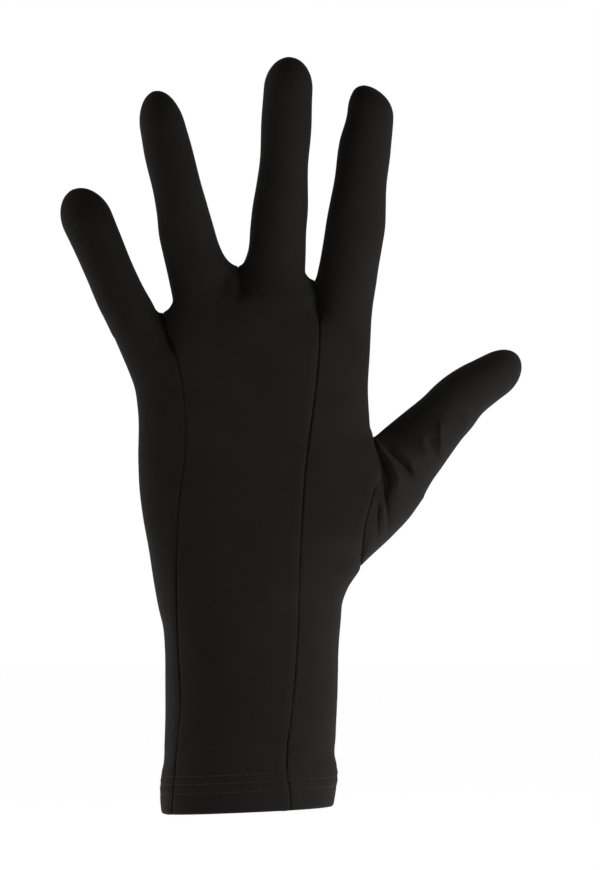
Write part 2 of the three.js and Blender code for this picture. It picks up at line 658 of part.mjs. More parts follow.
add(glove, "back_panel", panel(BACK, [{ ...ring, seams: { left: true } }, { ...middle, seams: { right: true } }]));
add(glove, "little_panel", panel(BACK, [{ ...little, seams: { right: true } }]));
add(glove, "index_panel", panel(BACK, [{ ...index, seams: { left: true } }]));
add(glove, "palm_panel", panel(FRONT, [little, ring, middle, index].map((part) => ({ ...part, seams: {} }))));
add(glove, "thumb", thumbPiece());
add(glove, "cuff_hem", hemBand());

export default glove;
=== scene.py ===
"""A black knitted glove liner in its worn form, back of the hand towards the camera.

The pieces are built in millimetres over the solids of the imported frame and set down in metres:
+X to the thumb's side, +Y out of the palm, +Z up to the fingertips, the wrist opening at the origin.
"""

import bpy
import numpy as np
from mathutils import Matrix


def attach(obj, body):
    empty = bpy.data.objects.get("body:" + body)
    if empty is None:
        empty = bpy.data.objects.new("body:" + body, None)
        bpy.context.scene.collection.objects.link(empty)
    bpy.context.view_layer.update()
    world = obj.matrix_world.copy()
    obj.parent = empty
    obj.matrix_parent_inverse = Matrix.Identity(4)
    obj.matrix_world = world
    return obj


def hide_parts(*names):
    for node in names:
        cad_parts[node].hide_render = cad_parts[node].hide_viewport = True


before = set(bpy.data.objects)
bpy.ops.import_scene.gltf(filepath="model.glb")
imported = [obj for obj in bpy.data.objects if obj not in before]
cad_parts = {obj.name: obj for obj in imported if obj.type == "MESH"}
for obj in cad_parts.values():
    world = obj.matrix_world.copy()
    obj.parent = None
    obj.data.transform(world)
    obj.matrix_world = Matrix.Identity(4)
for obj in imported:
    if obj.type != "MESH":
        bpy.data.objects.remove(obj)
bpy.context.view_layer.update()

# Little-finger panel
#
# The side of the glove's back below the little finger, cut from fine black jersey in one piece
# with the back of that finger. Its edges are overlocked inside to the middle panel and the palm,
# and its lower end turns under into the hem. The outline that all panels share is set out here.
PALM_LENGTH, HALF_WIDTH, PALM_DEPTH = 196.6, 84.5 / 2, 30.0
CLOTH = 1.0  # thickness of the jersey
BACK, FRONT = -1, 1

# Lines up the hand: share of the palm's length, place across as a share of half its width.
LITTLE_SIDE = np.array([
    (0, -0.737), (0.02, -0.748), (0.066, -0.745), (0.078, -0.738), (0.09, -0.725), (0.13, -0.715),
    (0.2, -0.708), (0.3, -0.708), (0.34, -0.725), (0.37, -0.757), (0.42, -0.8), (0.48, -0.846),
    (0.54, -0.901), (0.59, -0.93), (0.64, -0.94), (0.74, -0.943), (0.78, -0.972), (0.81, -1.022),
    (0.87, -1.138),
])
LITTLE_SEAM = np.array([
    (0, -0.648), (0.078, -0.62), (0.13, -0.6), (0.2, -0.571), (0.3, -0.592), (0.5, -0.6),
    (0.57, -0.584), (0.65, -0.54), (0.73, -0.537), (0.8, -0.571), (0.86, -0.638), (0.917, -0.725),
])
MIDDLE_LINE = np.array([(0, -0.09), (1.003, -0.082)])
INDEX_SEAM = np.array([
    (0, 0.375), (0.045, 0.356), (0.075, 0.335), (0.11, 0.337), (0.165, 0.369), (0.25, 0.408),
    (0.35, 0.434), (0.45, 0.446), (0.55, 0.468), (0.65, 0.504), (0.75, 0.566), (0.83, 0.605),
    (0.89, 0.616), (0.94, 0.603), (0.977, 0.576),
])
# The third number is how far the hand's section goes on past this line, under the thumb piece.
THUMB_SIDE = np.array([
    (0, 0.735, 0), (0.02, 0.752, 0), (0.066, 0.77, 0), (0.078, 0.762, 0), (0.09, 0.748, 0),
    (0.13, 0.755, 0), (0.2, 0.769, 0), (0.3, 0.783, 0), (0.35, 0.802, 0), (0.385, 0.818, 0),
    (0.41, 0.862, 0), (0.45, 0.974, 0), (0.465, 0.98, 0.012), (0.48, 0.985, 0.045),
    (0.5, 0.992, 0.14), (0.52, 1.002, 0.24), (0.565, 1.052, 0.25), (0.6, 1.1, 0.16),
    (0.625, 1.137, 0.09), (0.645, 1.133, 0.06), (0.67, 1.105, 0.03), (0.688, 1.082, 0),
    (0.704, 1.058, 0), (0.73, 1.045, 0), (0.77, 1.032, 0), (0.83, 1.044, 0), (0.91, 1.066, 0),
    (0.961, 1.098, 0),
])
LINES = [LITTLE_SIDE, LITTLE_SEAM, MIDDLE_LINE, INDEX_SEAM, THUMB_SIDE]
# Share of the palm's length; depth behind and before the middle plane, and the plane's place.
SECTIONS = np.array([
    (0, 0.77, 0.77, 0), (0.15, 0.74, 0.74, 0), (0.3, 0.69, 0.7, 0), (0.38, 0.66, 0.7, -0.01),
    (0.47, 0.6, 0.7, -0.03), (0.57, 0.53, 0.66, -0.05), (0.67, 0.48, 0.59, -0.06),
    (0.78, 0.44, 0.52, -0.06), (0.88, 0.4, 0.46, -0.05), (1, 0.36, 0.4, -0.03),
])
# The ball of the thumb, the heel, the hollow of the palm and the pads below the fingers:
# place across and up, half width, half height, rise as a share of the depth.
SWELLINGS = (
    (0.62, 0.5, 0.42, 0.13, 0.16), (-0.5, 0.52, 0.34, 0.17, 0.1),
    (0.05, 0.66, 0.34, 0.12, -0.16), (0, 0.86, 0.8, 0.05, 0.07),
)


def mix(a, b, share):
    """A value between a and b, in proportion to the share."""
    return a + (b - a) * share


def ease(share):
    """Rises from 0 to 1 as 3s^2 - 2s^3, flat at both ends."""
    share = np.clip(share, 0, 1)
    return share * share * (3 - 2 * share)


def table_curve(table, column, at):
    """Cubic through a table's column: Hermite stretches whose end slopes are the slopes of the
    stretches on either side, weighted by their widths, and level beyond the table's ends."""
    keys, values = table[:, 0], table[:, column]
    width = np.diff(keys)
    rise = np.diff(values) / width
    share = width[:-1] / (width[:-1] + width[1:])
    slope = np.concatenate([rise[:1], mix(rise[:-1], rise[1:], share), rise[-1:]])
    at = np.clip(at, keys[0], keys[-1])
    i = np.clip(np.searchsorted(keys, at, side="right") - 1, 0, len(width) - 1)
    u, w = (at - keys[i]) / width[i], width[i]
    return (values[i] * (1 + 2 * u) * (1 - u) ** 2 + slope[i] * w * u * (1 - u) ** 2
            + values[i + 1] * u * u * (3 - 2 * u) + slope[i + 1] * w * u * u * (u - 1))


HEM_SLOPE, SLOPE_START, SLOPE_END = 0.045, 0.1, 0.35  # the hem's edge rises towards the thumb


def height(x, up):
    """Height of a place on the hand: its share of the palm's length, plus the hem's slope, which
    fades out above the cuff."""
    fade = 1 - ease((up - SLOPE_START) / (SLOPE_END - SLOPE_START))
    return up * PALM_LENGTH + HEM_SLOPE * x * fade


VALLEY = 0.86  # share of the way up where the hollows between the fingers begin


def valley(way):
    """Square of the share of the way from the start of the hollows to the fingers' roots."""
    return np.clip((way - VALLEY) / (1 - VALLEY), 0, 1) ** 2


OPEN_REACH = 0.1  # reach under the thumb piece from which the hand's edge is no outline


def silhouette(up):
    """1 where the hand's edge is an outline, 0 along the open seam of the thumb piece."""
    return 1 - ease(table_curve(THUMB_SIDE, 2, up) / OPEN_REACH)


SEAM_FOOT = 0.45  # share of the palm's length where the thumb's seam starts


def line_at(line, way, inset):
    """Place (x, up) of a line up the hand, drawn in by the inset at outlines and notches."""
    way = np.asarray(way, float)
    top = LINES[line][-1, 0]
    up = np.where(way <= SEAM_FOOT, way, mix(SEAM_FOOT, top, (way - SEAM_FOOT) / (1 - SEAM_FOOT)))
    x = HALF_WIDTH * table_curve(LINES[line], 1, up)
    if line == 0:
        x = x + inset
    if line == len(LINES) - 1:
        x = x - inset * silhouette(up)
    return x, up - inset / PALM_LENGTH * valley(way)


ROUNDNESS = 2.3  # of the hand's section: 2 is an ellipse, more is squarer


def hand_depth(side, x, up, inset):
    """Half depth of the hand's section: a superellipse across the hand, full depth times
    (1 - |place|^n)^(1/n), with the palm's swellings as products of bell curves."""
    left = HALF_WIDTH * table_curve(LITTLE_SIDE, 1, up) + inset
    right = HALF_WIDTH * (table_curve(THUMB_SIDE, 1, up) + table_curve(THUMB_SIDE, 2, up)) - inset
    place = np.clip(np.abs((2 * x - left - right) / (right - left)), 0, 1)
    full = PALM_DEPTH * table_curve(SECTIONS, 1 if side == BACK else 2, up) - inset
    if side == FRONT:
        for out, at, wide, tall, rise in SWELLINGS:
            bell = np.exp(-((x / HALF_WIDTH - out) / wide) ** 2 - ((up - at) / tall) ** 2)
            full = full * (1 + rise * bell)
    return full * (1 - place ** ROUNDNESS) ** (1 / ROUNDNESS)


def hand_plane(up):
    """Depth of the plane halfway between back and palm."""
    return PALM_DEPTH * table_curve(SECTIONS, 3, up)


CROWDING = 0.7  # of the columns towards the seams


def spread(columns, left, right, seams):
    """Places from -1 to 1 across each row, drawn towards the seams at its ends by a sine of the
    share, and crowded as a cosine towards an edge that curves away."""
    even = np.linspace(0, 1, columns + 1)[None, :]
    left, right = np.atleast_1d(left)[:, None], np.atleast_1d(right)[:, None]
    drawn = (seams[0] * np.sin(np.pi * even) - seams[1] * np.sin(np.pi * even)) / np.pi
    if all(seams):
        drawn = np.sin(2 * np.pi * even) / (2 * np.pi)
    share = even - CROWDING * (1 - left * right) * drawn
    return ((2 * share - 1) * (1 - left) * (1 - right)
            + (1 - 2 * np.cos(np.pi * share / 2)) * left * (1 - right)
            + (2 * np.sin(np.pi * share / 2) - 1) * right * (1 - left)
            - np.cos(np.pi * share) * left * right)


FAN, NOTCH_SHARPNESS = 0.2, 20  # how a finger's rows turn square, and its edges turn into a notch


def finger_edges(finger, root, along, inset):
    """A finger's two edges in the picture plane, its depth, how far its rows have turned square,
    and its bend. From the notches the edges turn out on a steep power curve; the tip is round."""
    lean = np.radians(finger["lean"])
    axis, square = np.array([np.sin(lean), np.cos(lean)]), np.array([np.cos(lean), -np.sin(lean)])
    start = root[2] - axis * inset
    centre = start + along[:, None] * finger["length"] * axis
    turn = np.clip(along / FAN, 0, 1)
    turned, narrowed = turn * (2 - turn), 1 - (1 - turn) ** NOTCH_SHARPNESS
    cap = np.clip((along - finger["cap"]) / (1 - finger["cap"]), 0, 1)
    round_tip = np.sqrt(1 - cap * cap)
    left, right, thick = (table_curve(finger["outline"], k, along) for k in (1, 2, 3))
    middle = (left + right) / 2 * finger["width"]
    half = np.maximum(0, (right - left) / 2 * finger["width"] - inset) * round_tip
    edges = []
    for corner, offset in ((root[0], middle - half), (root[1], middle + half)):
        rel = corner - start
        edges.append(centre + mix(rel @ square, offset, narrowed)[:, None] * square
                     + ((rel @ axis) * (1 - turned))[:, None] * axis)
    depth = (finger["depth"] * thick / 2 - inset) * round_tip
    return edges[0], edges[1], depth, turned, finger["bend"] * along**2


def arc_across(points):
    """Distance along each row of points from its first point."""
    step = np.linalg.norm(np.diff(points, axis=1), axis=2)
    return np.concatenate([np.zeros((len(points), 1)), np.cumsum(step, axis=1)], axis=1)


FINGER_STEPS, CAP_STEPS, ROOT_CROWDING = 84, 18, 1.5  # rows to the round tip and over it


def finger_ways(finger):
    """Shares along a finger: a power curve that is dense at the root, then a quarter turn's sine."""
    body = np.linspace(0, 1, FINGER_STEPS + 1)[1:] ** ROOT_CROWDING * finger["cap"]
    cap = mix(finger["cap"], 1, np.sin(np.linspace(0, np.pi / 2, CAP_STEPS + 1)))[1:]
    return np.concatenate([body, cap])


ROOT_ROUNDING, ROOT_REACH = 4.5, 20  # of the bend from hand to finger
HELD_EDGE = 5  # the rounding is full from 1/5 of the width on


def round_root(sheet, root):
    """Rounds the bend where a finger's rows take over from the hand's: each point becomes the mean
    of its column under a bell curve, widest at the root's row and in the middle of the columns."""
    step = np.linalg.norm(np.diff(sheet, axis=0), axis=2)
    along = np.concatenate([np.zeros_like(step[:1]), np.cumsum(step, axis=0)])
    share = np.linspace(0, 1, sheet.shape[1])
    widest = ROOT_ROUNDING * ease(HELD_EDGE * np.minimum(share, 1 - share))
    apart = np.arange(-2, 2.1, 0.5)  # places under the bell curve, in its widths
    weight = np.exp(-apart * apart / 2) / np.exp(-apart * apart / 2).sum()
    for k in range(sheet.shape[1]):
        s, column = along[:, k] - along[root, k], sheet[:, k].copy()
        wide = widest[k] * np.clip(1 - (s / ROOT_REACH) ** 2, 0, 1) ** 2
        for axis in range(3):
            sheet[:, k, axis] = sum(w * np.interp(s + a * wide, s, column[:, axis])
                                    for a, w in zip(apart, weight))


EDGE_GAP = 0.06  # between two panels' turned-in edges
FOLD_RADIUS, FOLD_STEPS = 1.15, 7  # of the hem's lower edge, two layers thick
HAND_STEPS, VALLEY_STEPS, COLUMNS = 168, 42, 34
KNUCKLE = 0.985  # share of the way up where a finger's own seam begins on an unseamed hand
SEAM_DEPTH, SEAM_WIDTH = 0.45, 0.38  # groove where two panels' edges turn in
SEAM_SHOULDER, SHOULDER_AT, SHOULDER_WIDTH = 0.09, 2.6, 1.3  # cloth raised by the seam allowance


def finger_half(finger, line, side, seams=(True, True)):
    """Outer and inner sheet of one finger's share of the back or palm, from the hem's fold to the
    tip. Rows run up the hand, then along the finger; columns run between two lines of the hand.
    With the sheets come the knit's own coordinates and how near the seams are, as a bell curve."""
    little_side, thumb_side = line == 0, line + 2 == len(LINES)
    turn = np.linspace(np.pi / 2, 0, FOLD_STEPS)
    fold_top = FOLD_RADIUS / PALM_LENGTH
    ways = np.concatenate([
        np.linspace(fold_top, VALLEY, HAND_STEPS)[1:-1], np.linspace(VALLEY, 1, VALLEY_STEPS)])
    along = finger_ways(finger)
    sheets = []
    for inset in (0.0, CLOTH):
        radius = FOLD_RADIUS - inset
        row_way = np.concatenate([(FOLD_RADIUS - radius * np.sin(turn)) / PALM_LENGTH, ways])
        row_inset = np.concatenate([FOLD_RADIUS - radius * np.cos(turn), np.full(len(ways), inset)])
        (ax, aup), (bx, bup) = line_at(line, row_way, row_inset), line_at(line + 1, row_way, row_inset)
        ax = ax + EDGE_GAP / 2 * seams[0] * (not little_side)
        bx = bx - EDGE_GAP / 2 * seams[1] * (not thumb_side)
        w = valley(row_way)
        place = spread(COLUMNS, np.maximum(little_side, w), np.maximum(thumb_side, w), seams)
        share, w = (place + 1) / 2, w[:, None]
        x, up = mix(ax[:, None], bx[:, None], share), mix(aup[:, None], bup[:, None], share)
        root_depth = finger["depth"] * finger["outline"][0, 3] / 2 - row_inset[:, None]
        deep = hand_depth(side, x, up, row_inset[:, None])
        squared = mix(deep**2, root_depth**2 * (1 - place**2), w)
        y = hand_plane(up) + side * (np.sqrt(np.maximum(0, squared)) + EDGE_GAP / 2)
        hand = np.stack([x, y, height(x, up)], axis=2)

        outer_left, outer_right = (
            np.array(line_at(k, 1.0, 0.0)) * (1, PALM_LENGTH) for k in (line, line + 1))
        root = (np.array([ax[-1], aup[-1] * PALM_LENGTH]), np.array([bx[-1], bup[-1] * PALM_LENGTH]),
                (outer_left + outer_right) / 2)
        left, right, depth, turned, bend = finger_edges(finger, root, along, inset)
        tip_place = spread(COLUMNS, 1.0, 1.0, seams)
        tip_share = (tip_place + 1) / 2
        flat = mix(left[:, None, :], right[:, None, :], tip_share[:, :, None])
        plane = mix(hand_plane(mix(aup[-1], bup[-1], tip_share)), hand_plane(1.0), turned[:, None])
        rise = depth[:, None] * np.sqrt(np.maximum(0, 1 - tip_place**2))
        y = plane + bend[:, None] + side * (rise + EDGE_GAP / 2)
        sheets.append(np.concatenate([hand, np.stack([flat[:, :, 0], y, flat[:, :, 1]], axis=2)]))
        round_root(sheets[-1], len(row_way) - 1)
        if inset == 0:
            centre_up = (outer_left + outer_right)[1] / 2
            v = np.concatenate([up * PALM_LENGTH, mix(up[-1:] * PALM_LENGTH, centre_up, turned[:, None])
                                + along[:, None] * finger["length"]])
            hand_rows, knuckle = len(row_way), ease((row_way - KNUCKLE) / (1 - KNUCKLE))
    across = arc_across(sheets[0])
    near = np.zeros_like(across)
    for seam, distance in ((seams[0], across), (seams[1], across[:, -1:] - across)):
        on_hand = np.ones(hand_rows) if seam else knuckle
        strength = np.concatenate([on_hand, np.ones(len(along))])[:, None]
        shoulder = np.exp(-(((distance - SHOULDER_AT) / SHOULDER_WIDTH) ** 2))
        near = np.maximum(near, strength * np.exp(-((distance / SEAM_WIDTH) ** 2)))
        near = near - strength * SEAM_SHOULDER / SEAM_DEPTH * shoulder
    return dict(outer=sheets[0], inner=sheets[1], side=side, across=across, v=v, seam=near,
                hand_rows=hand_rows)


def ripple(p):
    """Slow unevenness of stretched cloth: a sum of three crossed sine waves, in millimetres."""
    x, y, z = p[:, 0], p[:, 1], p[:, 2]
    return (0.10 * np.sin(x / 5.3 + 1.3 * np.sin(z / 17.0) + y / 9.0) * np.sin(z / 8.1 + 0.6)
            + 0.07 * np.sin(z / 3.7 + x / 6.9 + 2.1) * np.sin(x / 11.0 - y / 7.0)
            + 0.12 * np.sin(x / 14.0 - z / 21.0 + 0.7))


def crease_lift(p, creases):
    """Lift of drawn creases: sharpest along a broken line in the picture plane, it dies out as
    exp(-distance / width), with a width for each side, and over a third of its length at both ends."""
    total = np.zeros(len(p))
    for line, left_width, right_width, lift in creases:
        line = np.array(line, float)
        step = np.diff(line, axis=0)
        length = np.linalg.norm(step, axis=1)
        passed = np.concatenate([[0], np.cumsum(length)])
        nearest, left, way = np.full(len(p), np.inf), np.zeros(len(p), bool), np.zeros(len(p))
        for k, run in enumerate(step):
            rel = p[:, ::2] - line[k]
            share = np.clip(rel @ run / length[k] ** 2, 0, 1)
            distance = np.linalg.norm(rel - share[:, None] * run, axis=1)
            nearer = distance < nearest
            nearest = np.where(nearer, distance, nearest)
            left = np.where(nearer, run[0] * rel[:, 1] > run[1] * rel[:, 0], left)
            way = np.where(nearer, (passed[k] + share * length[k]) / passed[-1], way)
        fade = ease(3 * np.minimum(way, 1 - way))
        total += lift * fade * np.exp(-nearest / np.where(left, left_width, right_width))
    return total


def place_object(name, data):
    """A new object in the scene."""
    thing = bpy.data.objects.new(name, data)
    bpy.context.scene.collection.objects.link(thing)
    return thing


MM = 0.001


def put_mesh(name, points, faces, corner_uv=None):
    """A mesh object from points in millimetres and triangles, with smooth faces and its knit map
    in metres."""
    mesh = bpy.data.meshes.new(name)
    mesh.vertices.add(len(points))
    mesh.vertices.foreach_set("co", np.ascontiguousarray(points * MM, np.float32).ravel())
    mesh.loops.add(faces.size)
    mesh.loops.foreach_set("vertex_index", faces.ravel().astype(np.int32))
    mesh.polygons.add(len(faces))
    mesh.polygons.foreach_set("loop_start", np.arange(0, faces.size, 3, dtype=np.int32))
    if corner_uv is not None:
        layer = mesh.uv_layers.new(name="knit_map")
        layer.data.foreach_set("uv", np.ascontiguousarray(corner_uv * MM, np.float32).ravel())
    mesh.update(calc_edges=True)
    mesh.validate()
    mesh.shade_smooth()
    mesh.set_sharp_from_angle(angle=np.radians(60))
    return place_object(name, mesh)


STITCH_ROWS, ROW_WIDTH, STITCH_PRESS = (7.6, 10.9, 13.8), 0.6, 0.2  # above the hem's edge
CHANNELS, CHANNEL_WIDTH, CHANNEL_SWELL = (9.2, 12.4), 0.9, 0.1  # the cloth between the rows


def stitch_press(level):
    """Depth to which the hem's stitch rows press the cloth in: a bell curve for each row of the
    height above the hem's edge, and a slight swelling of the channels between them."""
    rows = sum(np.exp(-(((level - row) / ROW_WIDTH) ** 2)) for row in STITCH_ROWS)
    channels = sum(np.exp(-(((level - middle) / CHANNEL_WIDTH) ** 2)) for middle in CHANNELS)
    return STITCH_PRESS * rows - CHANNEL_SWELL * channels


def pucker(v):
    """Uneven pull of a seam's stitches along it: 1 plus two short sine waves."""
    return 1 + 0.22 * np.sin(v / 0.52) + 0.16 * np.sin(v / 1.31 + 1.0)


def unit(vectors):
    """Vectors of length one."""
    return vectors / np.maximum(np.linalg.norm(vectors, axis=-1, keepdims=True), 1e-9)


def split_fields(a, b, c, d):
    """Two triangles for each four-cornered field of a grid of point numbers."""
    return np.stack([np.stack([a, b, c], 2), np.stack([a, c, d], 2)], 2).reshape(-1, 3)


MERGE = 500  # points that agree to 1/500 of a millimetre are one
STILL_HEM = 20  # the ripples fade in over this height above the wrist
CREASE_FACING = 0.35  # how squarely cloth has to face backwards to sink in full


def cloth_wall(name, parts, creases=(), press=(1, 1, 1)):
    """One closed wall of cloth: outer and inner sheets are joined where neighbouring halves meet,
    the outer one is pressed in along its normals at the seams and lifted by ripples, both sink at
    the creases, and a rim closes every free edge."""
    outer = np.concatenate([p["outer"].reshape(-1, 3) for p in parts])
    inner = np.concatenate([p["inner"].reshape(-1, 3) for p in parts])
    uv = np.concatenate([p["uv"].reshape(-1, 2) for p in parts])
    seam = np.concatenate([p["seam"].ravel() for p in parts])
    faces, first = [], 0
    for p in parts:
        rows, columns = p["outer"].shape[:2]
        ids = np.arange(first, first + rows * columns).reshape(rows, columns)
        first += rows * columns
        both = split_fields(ids[:-1, :-1], ids[:-1, 1:], ids[1:, 1:], ids[1:, :-1])
        faces.append(both if p["side"] == BACK else both[:, ::-1])
    corners = np.concatenate(faces)
    keys = np.round(np.concatenate([outer, inner], axis=1) * MERGE).astype(np.int64)
    _, kept, joined = np.unique(keys, axis=0, return_index=True, return_inverse=True)
    faces = joined.ravel()[corners]
    whole = (faces[:, 0] != faces[:, 1]) & (faces[:, 1] != faces[:, 2]) & (faces[:, 2] != faces[:, 0])
    faces, corners = faces[whole], corners[whole]
    outer, inner, seam, n = outer[kept], inner[kept], seam[kept], len(kept)

    facing = np.cross(outer[faces[:, 1]] - outer[faces[:, 0]], outer[faces[:, 2]] - outer[faces[:, 0]])
    normals = unit(np.stack([
        sum(np.bincount(faces[:, k], facing[:, axis], n) for k in range(3)) for axis in range(3)], 1))
    flat = 1 - np.clip(seam, 0, 1)
    relief = ripple(outer) * flat * ease(outer[:, 2] / STILL_HEM)
    relief = relief - stitch_press(outer[:, 2] - HEM_SLOPE * outer[:, 0])
    sunk = crease_lift(outer, creases) * ease(-normals[:, 1] / CREASE_FACING)
    groove = SEAM_DEPTH * seam * pucker(uv[kept, 1])
    outer = outer + normals * relief[:, None] - normals * press * groove[:, None]
    outer[:, 1] -= sunk
    inner[:, 1] -= sunk

    codes = np.concatenate([faces[:, [0, 1]], faces[:, [1, 2]], faces[:, [2, 0]]]).astype(np.int64)
    ends = np.concatenate([corners[:, [0, 1]], corners[:, [1, 2]], corners[:, [2, 0]]])
    free = ~np.isin(codes[:, 0] * n + codes[:, 1], codes[:, 1] * n + codes[:, 0])
    (a, b), (ca, cb) = codes[free].T, ends[free].T
    rim = np.concatenate([np.stack([b, a, n + a], 1), np.stack([b, n + a, n + b], 1)])
    rim_corners = np.concatenate([np.stack([cb, ca, ca], 1), np.stack([cb, ca, cb], 1)])
    triangles = np.concatenate([faces, faces[:, ::-1] + n, rim])
    corner_uv = uv[np.concatenate([corners, corners[:, ::-1], rim_corners]).ravel()]
    return put_mesh(name, np.concatenate([outer, inner]), triangles, corner_uv)


def maths(tree, how, *inputs):
    """A maths node whose inputs are numbers or other nodes' outputs; gives its output."""
    node = tree.nodes.new("ShaderNodeMath")
    node.operation = how
    for socket, value in zip(node.inputs, inputs):
        if isinstance(value, (int, float)):
            socket.default_value = value
        else:
            tree.links.new(value, socket)
    return node.outputs[0]


def plain_material(name, sockets):
    """A material whose shader has these sockets set; gives the material and its shader."""
    material = bpy.data.materials.new(name)
    material.use_nodes = True
    shader = material.node_tree.nodes["Principled BSDF"]
    for socket, value in sockets.items():
        shader.inputs[socket].default_value = value
    return material, shader


def mix_base_tones(tree, shader, factor, deep, top):
    """Colours a shader between two tones by a node's output."""
    tone = tree.nodes.new("ShaderNodeMix")
    tone.data_type = "RGBA"
    tone.inputs["A"].default_value, tone.inputs["B"].default_value = deep, top
    tree.links.new(factor, tone.inputs["Factor"])
    tree.links.new(tone.outputs["Result"], shader.inputs["Base Color"])


WALE, COURSE = 0.00062, 0.00048  # width and height of one knitted stitch, in metres
LEG_LEAN, BEAD = 1.4, 0.35  # slant of a stitch's legs, and how far each stands out along the wale
FUZZ, DYE, STITCH_PAINTED_SHADE = 0.5, 0.7, 0.6  # weight of fuzz in the relief, of dye in the tone, and of the painted shade between the stitch legs
# Tones of the yarn: the lighter one for the raised legs (painted light) and for lighter dye, the darker
# one for the painted shade between the legs and for darker dye.
YARN_LIT_LEG_AND_LIGHT_DYE, YARN_SHADED_GAP_AND_DARK_DYE = (0.0074, 0.0064, 0.0055, 1), (0.0028, 0.0024, 0.0020, 1)


def jersey(name):
    """Black jersey: two slanting legs to each stitch, |sin| across the wale times a sine along the
    course that leans with the distance from the wale's middle, with fuzz and uneven dye over it.
    The stitch pattern also darkens the colour between the legs, which is painted shade."""
    material, shader = plain_material(name, {
        "Roughness": 0.82, "Specular IOR Level": 0.06, "Sheen Weight": 0.035,
        "Sheen Roughness": 0.35, "Sheen Tint": (0.95, 0.92, 0.88, 1)})
    tree = material.node_tree
    uv = tree.nodes.new("ShaderNodeUVMap")
    uv.uv_map = "knit_map"
    split = tree.nodes.new("ShaderNodeSeparateXYZ")
    tree.links.new(uv.outputs["UV"], split.inputs[0])
    off = maths(tree, "PINGPONG", maths(tree, "DIVIDE", split.outputs["X"], WALE), 0.5)
    legs = maths(tree, "SINE", maths(tree, "MULTIPLY", off, 2 * np.pi))
    course = maths(tree, "DIVIDE", split.outputs["Y"], COURSE)
    rise = maths(tree, "ADD", course, maths(tree, "MULTIPLY", off, LEG_LEAN))
    wave = maths(tree, "SINE", maths(tree, "MULTIPLY", rise, 2 * np.pi))
    stitch = maths(tree, "MULTIPLY", legs, maths(tree, "MULTIPLY_ADD", wave, BEAD, 1 - BEAD))
    place = tree.nodes.new("ShaderNodeTexCoord").outputs["Object"]
    fuzz, dye = tree.nodes.new("ShaderNodeTexNoise"), tree.nodes.new("ShaderNodeTexNoise")
    for noise, scale, detail in ((fuzz, 2600, 3), (dye, 70, 4)):
        noise.inputs["Scale"].default_value, noise.inputs["Detail"].default_value = scale, detail
        tree.links.new(place, noise.inputs["Vector"])
    relief = maths(tree, "MULTIPLY_ADD", fuzz.outputs["Fac"], FUZZ, stitch)
    bump = tree.nodes.new("ShaderNodeBump")
    bump.inputs["Strength"].default_value = 0.55
    bump.inputs["Distance"].default_value = 0.00013
    tree.links.new(relief, bump.inputs["Height"])
    tree.links.new(bump.outputs[0], shader.inputs["Normal"])
    # The stitch relief also colours the yarn, darker between the legs: painted shade. The dye noise is
    # uneven tone of the yarn itself.
    tone = maths(tree, "MULTIPLY", stitch, STITCH_PAINTED_SHADE)
    tone = maths(tree, "MULTIPLY_ADD", dye.outputs["Fac"], DYE, tone)
    mix_base_tones(tree, shader, tone, YARN_SHADED_GAP_AND_DARK_DYE, YARN_LIT_LEG_AND_LIGHT_DYE)
    return material


def fit(piece, material, *nodes):
    """Gives a piece its material, the glove's body, and the solids that it stands for."""
    piece.data.materials.append(material)
    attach(piece, "root")
    if nodes:
        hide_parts(*nodes)


def knit_from_middle(part):
    """Knit coordinates of a half that is its own panel: u is the distance from the middle column."""
    u = part["across"] - part["across"][:, COLUMNS // 2][:, None]
    return dict(part, uv=np.stack([u, part["v"]], axis=2))


# Little finger: length, width and depth of its middle joint, lean, bend to the palm, start of
# the round tip; then along, left edge, right edge (shares of the width), share of the depth.
LITTLE = dict(length=55.4, width=17.8, depth=14.6, lean=-23.7, bend=11, cap=0.76, outline=np.array([
    (0, -0.57, 0.44, 1.12), (0.1, -0.586, 0.428, 1.08), (0.2, -0.606, 0.397, 1.03),
    (0.4, -0.597, 0.383, 1), (0.6, -0.608, 0.404, 0.98), (0.8, -0.632, 0.43, 0.95),
    (1, -0.66, 0.41, 0.9),
]))
# Soft creases of the back: points in millimetres across and up, widths to the left and right of
# the line through them, and lift, below 0 where the cloth sinks.
BACK_CREASES = (
    (((-32.6, 188.0), (-30.8, 179.8), (-27.3, 169.3), (-25.6, 163.0)), 0.9, 2.4, -4.2),
    (((23.4, 201.0), (24.5, 192.1), (25.5, 184.8), (26.0, 175.0)), 1.7, 2.1, -4.6),
    (((-8.0, 197.5), (-7.6, 186.0)), 1.0, 1.8, -0.8),
    (((-2.8, 201.0), (-2.0, 184.0)), 3.2, 2.6, -2.4),
)

little_half = knit_from_middle(finger_half(LITTLE, 0, BACK))
little_panel = cloth_wall("little_panel_cloth", [little_half], BACK_CREASES)
fit(little_panel, jersey("little panel jersey"), "little_panel")

# Middle panel of the back
#
# The middle of the back with the backs of the ring and middle fingers, one cut of the same
# jersey with no seam between the two fingers, overlocked to the side panels along both sides.


def lay_knit(parts, anchor):
    """Knit coordinates of neighbouring halves: u is the distance across from the anchor's edge,
    carried on from half to half, and each finger keeps the u of its root's middle column."""
    middle = COLUMNS // 2
    for order, edge in ((range(anchor, len(parts)), 0), (range(anchor - 1, -1, -1), -1)):
        carried = 0.0
        for k in order:
            part = parts[k]
            u = part["across"] - part["across"][:, edge][:, None] + carried
            rows = part["hand_rows"]
            fingers = part["across"][rows:]
            u[rows:] = u[rows - 1, middle] + fingers - fingers[:, middle][:, None]
            part["uv"] = np.stack([u, part["v"]], axis=2)
            carried = u[:, -1 - edge][:, None]
    return parts


